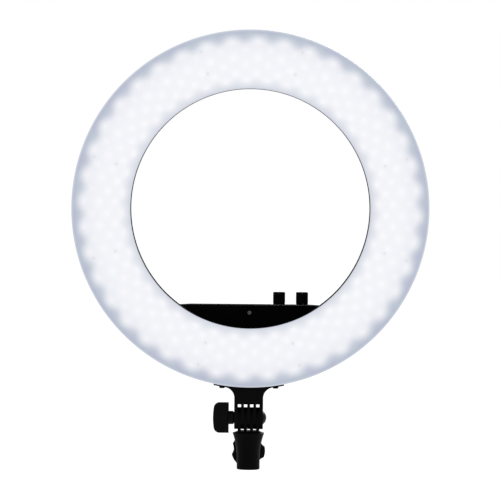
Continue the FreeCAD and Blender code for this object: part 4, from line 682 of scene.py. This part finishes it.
def lay_on(tree, sizes, outlines):
    """Drop flat outlines on the surface and thicken them: the new geometry socket."""
    surface = add_node(tree, "GeometryNodeObjectInfo", {"Object": sizes["Surface"]})
    hit = add_node(tree, "GeometryNodeRaycast", {
        "Target Geometry": surface.outputs["Geometry"], "Ray Direction": sizes["Towards"], "Ray Length": 1.0})
    laid = add_node(tree, "GeometryNodeSetPosition", {
        "Geometry": outlines, "Position": hit.outputs["Hit Position"],
        "Offset": scaled(tree, sizes["Towards"], sizes["Sink"])})
    raised = add_node(tree, "GeometryNodeExtrudeMesh", {
        "Mesh": laid.outputs[0], "Offset": scaled(tree, sizes["Towards"], -1.0),
        "Offset Scale": sizes["Height"], "Individual": False}, mode="FACES")
    back = add_node(tree, "GeometryNodeFlipFaces", {"Mesh": laid.outputs[0]})
    whole = tree.nodes.new("GeometryNodeJoinGeometry")
    tree.links.new(raised.outputs[0], whole.inputs[0])
    tree.links.new(back.outputs[0], whole.inputs[0])
    return whole.outputs[0]


LAID_SIZES = {"Surface": "Object", "Towards": "Vector", "Sink": "Float", "Height": "Float"}
INK_SINK = 0.02 * MM
INK_HEIGHT = 0.10 * MM
INK_WELD = 0.001 * MM
# How far in front of its surface an outline starts
AHEAD = 5.0 * MM


def laid_tree(finish):
    tree, sizes = new_tree("laid_outlines", LAID_SIZES)
    finish_tree(tree, lay_on(tree, sizes, sizes["Geometry"]), finish)
    return tree


def lay(name, outlines, node, towards, height, finish, body):
    """Lay an outline mesh on a CAD node as ink or as a rib."""
    return grow(name, outlines, laid_tree(finish), {
        "Surface": frame["nodes"][node], "Towards": towards, "Sink": INK_SINK, "Height": height}, body)


def welded(work, name):
    """A drawing as a mesh, with corners that lie in one place joined."""
    bmesh.ops.remove_doubles(work, verts=work.verts, dist=INK_WELD)
    mesh = bpy.data.meshes.new(name)
    work.to_mesh(mesh)
    work.free()
    return mesh


def outlines_mesh(name, outlines):
    """Flat outlines, each a ring of corners, as one mesh of faces."""
    work = bmesh.new()
    for outline in outlines:
        work.faces.new([work.verts.new(corner) for corner in outline])
    return welded(work, name)


def number_mesh(name, labels):
    """Numbers as flat outlines in the XY plane. A label is its text, its place and its height."""
    work = bmesh.new()
    for words, across, along, tall in labels:
        curve = bpy.data.curves.new(name, "FONT")
        curve.body, curve.size, curve.align_x, curve.align_y = words, tall, "CENTER", "CENTER"
        holder = bpy.data.objects.new(name, curve)
        mesh = bpy.data.meshes.new_from_object(holder)
        mesh.transform(Matrix.Translation((across, along, 0.0)) @ Matrix.Rotation(math.pi, 4, "Z"))
        work.from_mesh(mesh)
        bpy.data.objects.remove(holder)
    return welded(work, name)


# %% [markdown]
# ## Dial scales
# Each dial turns 280 degrees clockwise from the front. Its scale on the box top is eleven ticks, a wedge
# that widens as the setting rises, and three numbers. Ticks repeat and the wedge follows an arc, so one
# tree draws both from the same start angle and sweep. The reader stands behind the light, so the numbers
# face backwards.

# %% A tree that draws a dial's scale
DIAL_START = -90.0
DIAL_SWEEP = -280.0
WEDGE_STEPS = 56
WEDGE_START = 0.15


def on_arc(tree, turn, radius):
    """The point at an angle and a distance from the dial's axis."""
    return add_node(tree, "ShaderNodeCombineXYZ", {
        "X": turn.maths("COSINE") * radius, "Y": turn.maths("SINE") * radius}).outputs[0]


def scale_tree(finish):
    tree, sizes = new_tree("dial_scale", {
        **LAID_SIZES, "Centre": "Vector", "Start": "Float", "Sweep": "Float", "Ticks": "Int",
        "Tick Radius": "Float", "Tick Length": "Float", "Tick Width": "Float", "Wedge Radius": "Float",
        "Wedge Width": "Float"})
    number = Field(tree, add_node(tree, "GeometryNodeInputIndex").outputs[0])
    share = number / (Field(tree, sizes["Ticks"]) - 1.0)
    turn = share * sizes["Sweep"] + sizes["Start"]
    spots = add_node(tree, "GeometryNodePoints", {
        "Count": sizes["Ticks"], "Position": on_arc(tree, turn, sizes["Tick Radius"])})
    tick = add_node(tree, "GeometryNodeMeshGrid", {
        "Size X": sizes["Tick Length"], "Size Y": sizes["Tick Width"], "Vertices X": 2, "Vertices Y": 2})
    facing = add_node(tree, "ShaderNodeCombineXYZ", {"Z": turn})
    ticks = add_node(tree, "GeometryNodeInstanceOnPoints", {
        "Points": spots.outputs[0], "Instance": tick.outputs[0], "Rotation": facing.outputs[0]})
    real_ticks = add_node(tree, "GeometryNodeRealizeInstances", {"Geometry": ticks.outputs[0]})

    # The wedge starts as a strip of one by one, and is bent round the arc
    strip = add_node(tree, "GeometryNodeMeshGrid", {
        "Size X": 1.0, "Size Y": 1.0, "Vertices X": WEDGE_STEPS + 1, "Vertices Y": 2})
    place = add_node(tree, "ShaderNodeSeparateXYZ", {
        "Vector": add_node(tree, "GeometryNodeInputPosition").outputs[0]})
    along = Field(tree, place.outputs["X"]) + 0.5
    outwards = Field(tree, place.outputs["Y"]) + 0.5
    wedge_turn = along * sizes["Sweep"] + sizes["Start"]
    widening = along * (1.0 - WEDGE_START) + WEDGE_START
    wedge_out = outwards * widening * sizes["Wedge Width"] + sizes["Wedge Radius"]
    wedge = add_node(tree, "GeometryNodeSetPosition", {
        "Geometry": strip.outputs[0], "Position": on_arc(tree, wedge_turn, wedge_out)})
    flat = tree.nodes.new("GeometryNodeJoinGeometry")
    for geometry in (real_ticks.outputs[0], wedge.outputs[0], sizes["Geometry"]):
        tree.links.new(geometry, flat.inputs[0])
    placed = add_node(tree, "GeometryNodeTransform", {
        "Geometry": flat.outputs[0], "Translation": sizes["Centre"]})
    finish_tree(tree, lay_on(tree, sizes, placed.outputs[0]), finish)
    return tree


# %% Scales of the two dials
NUMBER_TALL = 2.6 * MM
NUMBER_PLACES = ((6.2 * MM, -11.6 * MM), (0.0, 13.0 * MM), (13.4 * MM, 0.6 * MM))
DOWN = (0.0, 0.0, -1.0)
SCALE_SIZES = {
    "Ticks": 11, "Tick Radius": 10.9 * MM, "Tick Length": 1.6 * MM, "Tick Width": 0.45 * MM,
    "Wedge Radius": 8.9 * MM, "Wedge Width": 0.8 * MM, "Start": math.radians(DIAL_START),
    "Sweep": math.radians(DIAL_SWEEP), "Surface": frame["nodes"]["box_shell"], "Towards": DOWN,
    "Sink": INK_SINK, "Height": INK_HEIGHT}
# Printing ink is a flat colour broken by the pores of the print
white_ink = moulded("white_ink", (0.62, 0.62, 0.60), 0.5, 0.15 * MM, 0.01 * MM, 0.3, 0.05)
scale_marks = scale_tree(white_ink)
scale_labels = {"brightness_dial": ("0", "50", "100"), "colour_dial": ("32", "44", "56")}
for name, labels in scale_labels.items():
    centre = middle_of(name)
    centre.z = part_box(name)[0].z + AHEAD
    numbers = number_mesh(name + "_numbers", [
        (words, across, along, NUMBER_TALL) for words, (across, along) in zip(labels, NUMBER_PLACES)])
    grow(name + "_scale", numbers, scale_marks, {**SCALE_SIZES, "Centre": centre}, "ring_head")

# %% [markdown]
# ## Pointers, switch marks and the battery plates' arrows
# A white bar lies in the notch of each dial. The rocker carries the usual line and circle for on and off,
# one on each slanted half, and each battery plate has an arrow for the way the battery slides on.

# %% Dial pointers
POINTER_FROM_AXIS = 3.6 * MM
POINTER_HALF = (0.5 * MM, 2.6 * MM)


def rectangle(centre, half_across, half_up):
    across, up = centre
    return [(across - half_across, up - half_up), (across + half_across, up - half_up),
            (across + half_across, up + half_up), (across - half_across, up + half_up)]


for name in scale_labels:
    centre = middle_of(name)
    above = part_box(name)[1].z + AHEAD
    corners = rectangle((centre.x, centre.y - POINTER_FROM_AXIS), *POINTER_HALF)
    bar = outlines_mesh(name + "_pointer", [[(x, y, above) for x, y in corners]])
    lay(name + "_pointer", bar, name, DOWN, INK_HEIGHT, white_ink, name)

# %% Switch marks
MARK_FROM_MIDDLE = 4.2 * MM
CIRCLE_RADII = (1.15 * MM, 1.6 * MM)
CIRCLE_STEPS = 32
LINE_HALF = (0.25 * MM, 1.6 * MM)
FRONT, BACK = -1.0, 1.0


def lay_upright(name, outlines, node, side, height, finish, body):
    """Lay outlines, given across and up, on a node's front or back."""
    low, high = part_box(node)
    depth = low.y - AHEAD if side == FRONT else high.y + AHEAD
    upright = [[(across, depth, up) for across, up in outline] for outline in outlines]
    return lay(name, outlines_mesh(name, upright), node, (0.0, -side, 0.0), height, finish, body)


rocker = middle_of("switch_rocker")
circle_x = rocker.x - MARK_FROM_MIDDLE
inner, outer = CIRCLE_RADII
marks = [rectangle((rocker.x + MARK_FROM_MIDDLE, rocker.z), *LINE_HALF)]
for step in range(CIRCLE_STEPS):
    first, second = (2.0 * math.pi * (step + k) / CIRCLE_STEPS for k in (0, 1))
    corners = ((inner, first), (outer, first), (outer, second), (inner, second))
    marks.append([
        (circle_x + out * math.cos(turn), rocker.z + out * math.sin(turn)) for out, turn in corners])
lay_upright("switch_marks", marks, "switch_rocker", BACK, INK_HEIGHT, white_ink, "switch_rocker")

# %% Arrows on the battery plates
ARROW_TALL = 9.0 * MM
HEAD_SHARE = 0.34
STEM_SHARE = 0.12
NECK_SHARE = 0.05


def arrow(centre, tall):
    """An arrow that points down, the way a battery slides on: seven corners."""
    across, up = centre
    half_head, half_stem, neck = tall * HEAD_SHARE, tall * STEM_SHARE, up - tall * NECK_SHARE
    return [(across, up - tall / 2), (across + half_head, neck), (across + half_stem, neck),
            (across + half_stem, up + tall / 2), (across - half_stem, up + tall / 2),
            (across - half_stem, neck), (across - half_head, neck)]


for side in ("right", "left"):
    plate = "battery_plate_" + side
    middle = middle_of(plate)
    lay_upright(plate + "_arrow", [arrow((middle.x, middle.z), ARROW_TALL)], plate, BACK, INK_HEIGHT,
                white_ink, "ring_head")

# %% [markdown]
# ## Grip ribs
# Thumbs slip on smooth plastic, so the T-handle's two faces and the battery latches have short raised
# ribs. They are laid like the marks, only about half a millimetre high.

# %% Ribs of the T-handle
RIB_HEIGHT = 0.5 * MM
RIB_HALF = (4.8 * MM, 0.55 * MM)
RIB_FROM_END = 11.5 * MM
RIB_PITCH = 4.6 * MM
rib_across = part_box("tilt_handle")[0].x + RIB_FROM_END
rows = [middle_of("tilt_handle").z + step * RIB_PITCH for step in (-3, -2, -1, 1, 2, 3)]
bars = [rectangle((rib_across, up), *RIB_HALF) for up in rows]
for side, name in ((FRONT, "handle_ribs_front"), (BACK, "handle_ribs_back")):
    lay_upright(name, bars, "tilt_handle", side, RIB_HEIGHT, finishes["knob"], "tilt_handle")

# %% Ribs of the battery latches
LATCH_RIB_HEIGHT = 0.4 * MM
LATCH_RIB_HALF = (2.9 * MM, 0.4 * MM)
LATCH_RIBS_UP = (2.4 * MM, 4.1 * MM, 5.8 * MM)
for side in ("right", "left"):
    latch = "battery_latch_" + side
    across, foot = middle_of(latch).x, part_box(latch)[0].z
    bars = [rectangle((across, foot + up), *LATCH_RIB_HALF) for up in LATCH_RIBS_UP]
    lay_upright("latch_ribs_" + side, bars, latch, BACK, LATCH_RIB_HEIGHT, finishes["latch"], latch)

# %% [markdown]
# ## The star knob's cap
# Moulded star knobs end in a round cap with a raised rim that hides the stud, and a shallow dome inside
# the rim. Both are turned forms: one outline carried round the knob's axis, so the tree that swept the
# diffuser makes the cap too. The outline's first and last corners lie on the axis, which closes it. The
# cap is a plastic insert of its own, in the dark grey of the box's cover.

# %% Cap of the star knob
CAP_RADIUS = 11.0 * MM
CAP_STEPS = 96
CAP_SINK = 0.4 * MM
CAP_RISE = 0.7 * MM
CAP_ROUND = 0.4 * MM
CAP_RIM = 2.0 * MM
CAP_SLOPE = 0.4 * MM
CAP_DISH = 0.2 * MM
CAP_DOME = 0.8 * MM
knob_joint = next(joint for joint in frame["joints"] if joint["name"] == "lock_knob_turn")
knob_axis = knob_joint["pos_m"][2]
cap_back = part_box("lock_knob")[1].y
rim_inside = CAP_RADIUS - CAP_RIM
cap_corners = [
    (0.0, cap_back - CAP_SINK, 0.0), (CAP_RADIUS, cap_back - CAP_SINK, 0.0),
    (CAP_RADIUS, cap_back + CAP_RISE, CAP_ROUND), (rim_inside, cap_back + CAP_RISE, CAP_ROUND),
    (rim_inside - CAP_SLOPE, cap_back + CAP_DISH, 0.0), (0.0, cap_back + CAP_DOME, 0.0)]
cap_from_rim = [(out - CAP_RADIUS, depth, rounding) for out, depth, rounding in cap_corners]
cap_outline = outline_mesh("knob_cap_outline", cap_from_rim)
cap_tree = sweep_tree(finishes["cover"], circle_path, RING_SIZES)
grow("knob_cap", cap_outline, cap_tree, {
    "Ring Radius": CAP_RADIUS, "Steps": CAP_STEPS, "Centre Height": knob_axis}, "lock_knob")

# %% [markdown]
# ## The display's digits
# The display shows the brightness in per cent over the colour temperature. Each digit is up to seven
# bars, so a table says which bars are lit, and every bar is the same six-cornered outline. They shine
# through the clear window, because their finish glows.

# %% Digits
LIT_BARS = {"0": "abcdef", "1": "bc", "5": "acdfg", "6": "acdefg"}
BAR_PLACES = {"a": (0.5, 2.0, False), "b": (1.0, 1.5, True), "c": (1.0, 0.5, True), "d": (0.5, 0.0, False),
              "e": (0.0, 0.5, True), "f": (0.0, 1.5, True), "g": (0.5, 1.0, False)}
# Half a bar's length and width, and the step from digit to digit, in shares of half a digit's height
BAR_LONG = 0.42
BAR_WIDE = 0.10
DIGIT_STEP = 1.55
DIGIT_HEIGHT = 0.06 * MM
# A row: the digits, their left end, their foot from the display's middle, and how tall they are
DISPLAY_ROWS = (("100", -9.5 * MM, 0.5 * MM, 10.5 * MM), ("5600", -11.5 * MM, -11.0 * MM, 8.5 * MM))


def digit_bars(words, left, foot, tall):
    """Outlines of the lit bars. The reader stands behind the light, so across runs towards -X."""
    unit = tall / 2.0
    outlines = []
    for place, digit in enumerate(words):
        for bar in LIT_BARS[digit]:
            across, up, upright = BAR_PLACES[bar]
            long, wide = BAR_LONG * unit, BAR_WIDE * unit
            tips = [(-long, 0.0), (wide - long, -wide), (long - wide, -wide),
                    (long, 0.0), (long - wide, wide), (wide - long, wide)]
            tips = [(y, x) for x, y in tips] if upright else tips
            start = left + place * DIGIT_STEP * unit
            outlines.append([(-(start + across * unit + x), foot + up * unit + y) for x, y in tips])
    return outlines


def glow(name, colour, strength):
    """A lit mark: it glows, a little unevenly."""
    material, tree, shader = new_material(name, colour)
    even = noise(tree, 1.5 * MM)
    dim = [value * 0.85 for value in colour]
    tree.links.new(blend_colours(tree, even, dim, colour), shader.inputs["Emission Color"])
    shader.inputs["Base Color"].default_value = (*colour, 1.0)
    shader.inputs["Emission Strength"].default_value = strength
    shader.inputs["Roughness"].default_value = 0.4
    return material


middle = middle_of("display_module").z
lit = []
for words, left, foot, tall in DISPLAY_ROWS:
    lit += digit_bars(words, left, middle + foot, tall)
lay_upright("display_digits", lit, "display_module", BACK, DIGIT_HEIGHT,
            glow("lit_digits", (0.35, 0.80, 1.0), 1.0), "ring_head")

# %% [markdown]
# ## The display's bezel
# A raised frame hides the joint between the window and the cover. It is one outline again, this time
# carried round a rectangle with rounded corners, so the sweep takes another path and stays the same.

# %% Bezel
window_low, window_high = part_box("display_window")
BEZEL_HALF = 1.1 * MM
BEZEL_SINK = 0.2 * MM
BEZEL_RISE = 0.7 * MM
BEZEL_ROUND = 0.4 * MM
BEZEL_CORNER = 2.5 * MM
BEZEL_ROOM = 3.0 * MM
bezel_foot, bezel_top = cover_back - BEZEL_SINK, cover_back + BEZEL_RISE
bezel_outline = outline_mesh("bezel_outline", [
    (BEZEL_HALF, bezel_foot, 0.0), (BEZEL_HALF, bezel_top, BEZEL_ROUND),
    (-BEZEL_HALF, bezel_top, BEZEL_ROUND), (-BEZEL_HALF, bezel_foot, 0.0)])
bezel_tree = sweep_tree(finishes["box"], rectangle_path, {
    "Width": "Float", "Height": "Float", "Corner": "Float"})
grow("display_bezel", bezel_outline, bezel_tree, {
    "Width": window_high.x - window_low.x + BEZEL_ROOM, "Height": window_high.z - window_low.z + BEZEL_ROOM,
    "Corner": BEZEL_CORNER, "Centre Height": middle_of("display_window").z}, "ring_head")

# %% [markdown]
# ## Room, floor and lamps
# The photograph's background is plain white. The world shows white to the camera and in reflections,
# and lights the object more gently. The floor is pale plaster: for the camera it glows just enough to
# reach white, and keeps the light's soft shadow. It lies well below, because the light is held by a stand.

# %% World
world = bpy.data.worlds.new("studio")
bpy.context.scene.world = world
world.use_nodes = True
AMBIENT = 0.55


def seen_directly(tree):
    """1 for rays that look at a thing or its mirror image, 0 for rays that light other things."""
    rays = add_node(tree, "ShaderNodeLightPath").outputs
    seen = Field(tree, rays["Is Camera Ray"]).maths("MAXIMUM", rays["Is Glossy Ray"])
    return seen.maths("MAXIMUM", rays["Is Transmission Ray"])


strength = seen_directly(world.node_tree) * (1.0 - AMBIENT) + AMBIENT
background = world.node_tree.nodes["Background"]
background.inputs["Color"].default_value = (1.0, 1.0, 1.0, 1.0)
world.node_tree.links.new(strength.socket, background.inputs["Strength"])
print("world: white to look at, and it lights with", AMBIENT, "of that")

# %% Floor
FLOOR_DROP = 0.30
FLOOR_HALF = 14.0
FLOOR_GLOW = 0.62


def floor_plaster():
    material, tree, shader = new_material("floor_plaster", (0.8, 0.8, 0.8))
    tone = blend_colours(tree, noise(tree, 0.4, 3.0), (0.78, 0.78, 0.78), (0.82, 0.82, 0.82))
    tree.links.new(tone, shader.inputs["Base Color"])
    shader.inputs["Roughness"].default_value = 0.9
    shader.inputs["Specular IOR Level"].default_value = 0.1
    shader.inputs["Emission Color"].default_value = (1.0, 1.0, 1.0, 1.0)
    tree.links.new((seen_directly(tree) * FLOOR_GLOW).socket, shader.inputs["Emission Strength"])
    return material


floor_mesh = bpy.data.meshes.new("floor")
floor_corners = [(-FLOOR_HALF, -FLOOR_HALF), (FLOOR_HALF, -FLOOR_HALF), (FLOOR_HALF, FLOOR_HALF),
                 (-FLOOR_HALF, FLOOR_HALF)]
floor_mesh.from_pydata([(x, y, -FLOOR_DROP) for x, y in floor_corners], [], [(0, 1, 2, 3)])
floor_mesh.materials.append(floor_plaster())
floor = bpy.data.objects.new("floor", floor_mesh)
bpy.context.scene.collection.objects.link(floor)
print("floor below the socket:", FLOOR_DROP, "m")

# %% Lamps
def soft_lamp(name, place, size, power):
    """A square soft box aimed at the ring's middle."""
    data = bpy.data.lights.new(name, "AREA")
    data.shape = "SQUARE"
    data.size = size
    data.energy = power
    lamp = bpy.data.objects.new(name, data)
    bpy.context.scene.collection.objects.link(lamp)
    lamp.location = place
    lamp.rotation_euler = (RING_CENTRE - Vector(place)).to_track_quat("-Z", "Y").to_euler()
    return lamp


# A row: name, place, width in metres, power in watts
LAMPS = (
    ("key_lamp", (-1.3, -1.5, 1.9), 1.2, 14.0),
    ("fill_lamp", (1.7, -1.2, 1.0), 1.0, 7.0),
    ("back_lamp", (0.9, 1.8, 1.5), 1.2, 50.0))
for row in LAMPS:
    lamp = soft_lamp(*row)
    print(lamp.name, lamp.data.energy, "W")
bpy.context.scene.view_settings.view_transform = "Standard"
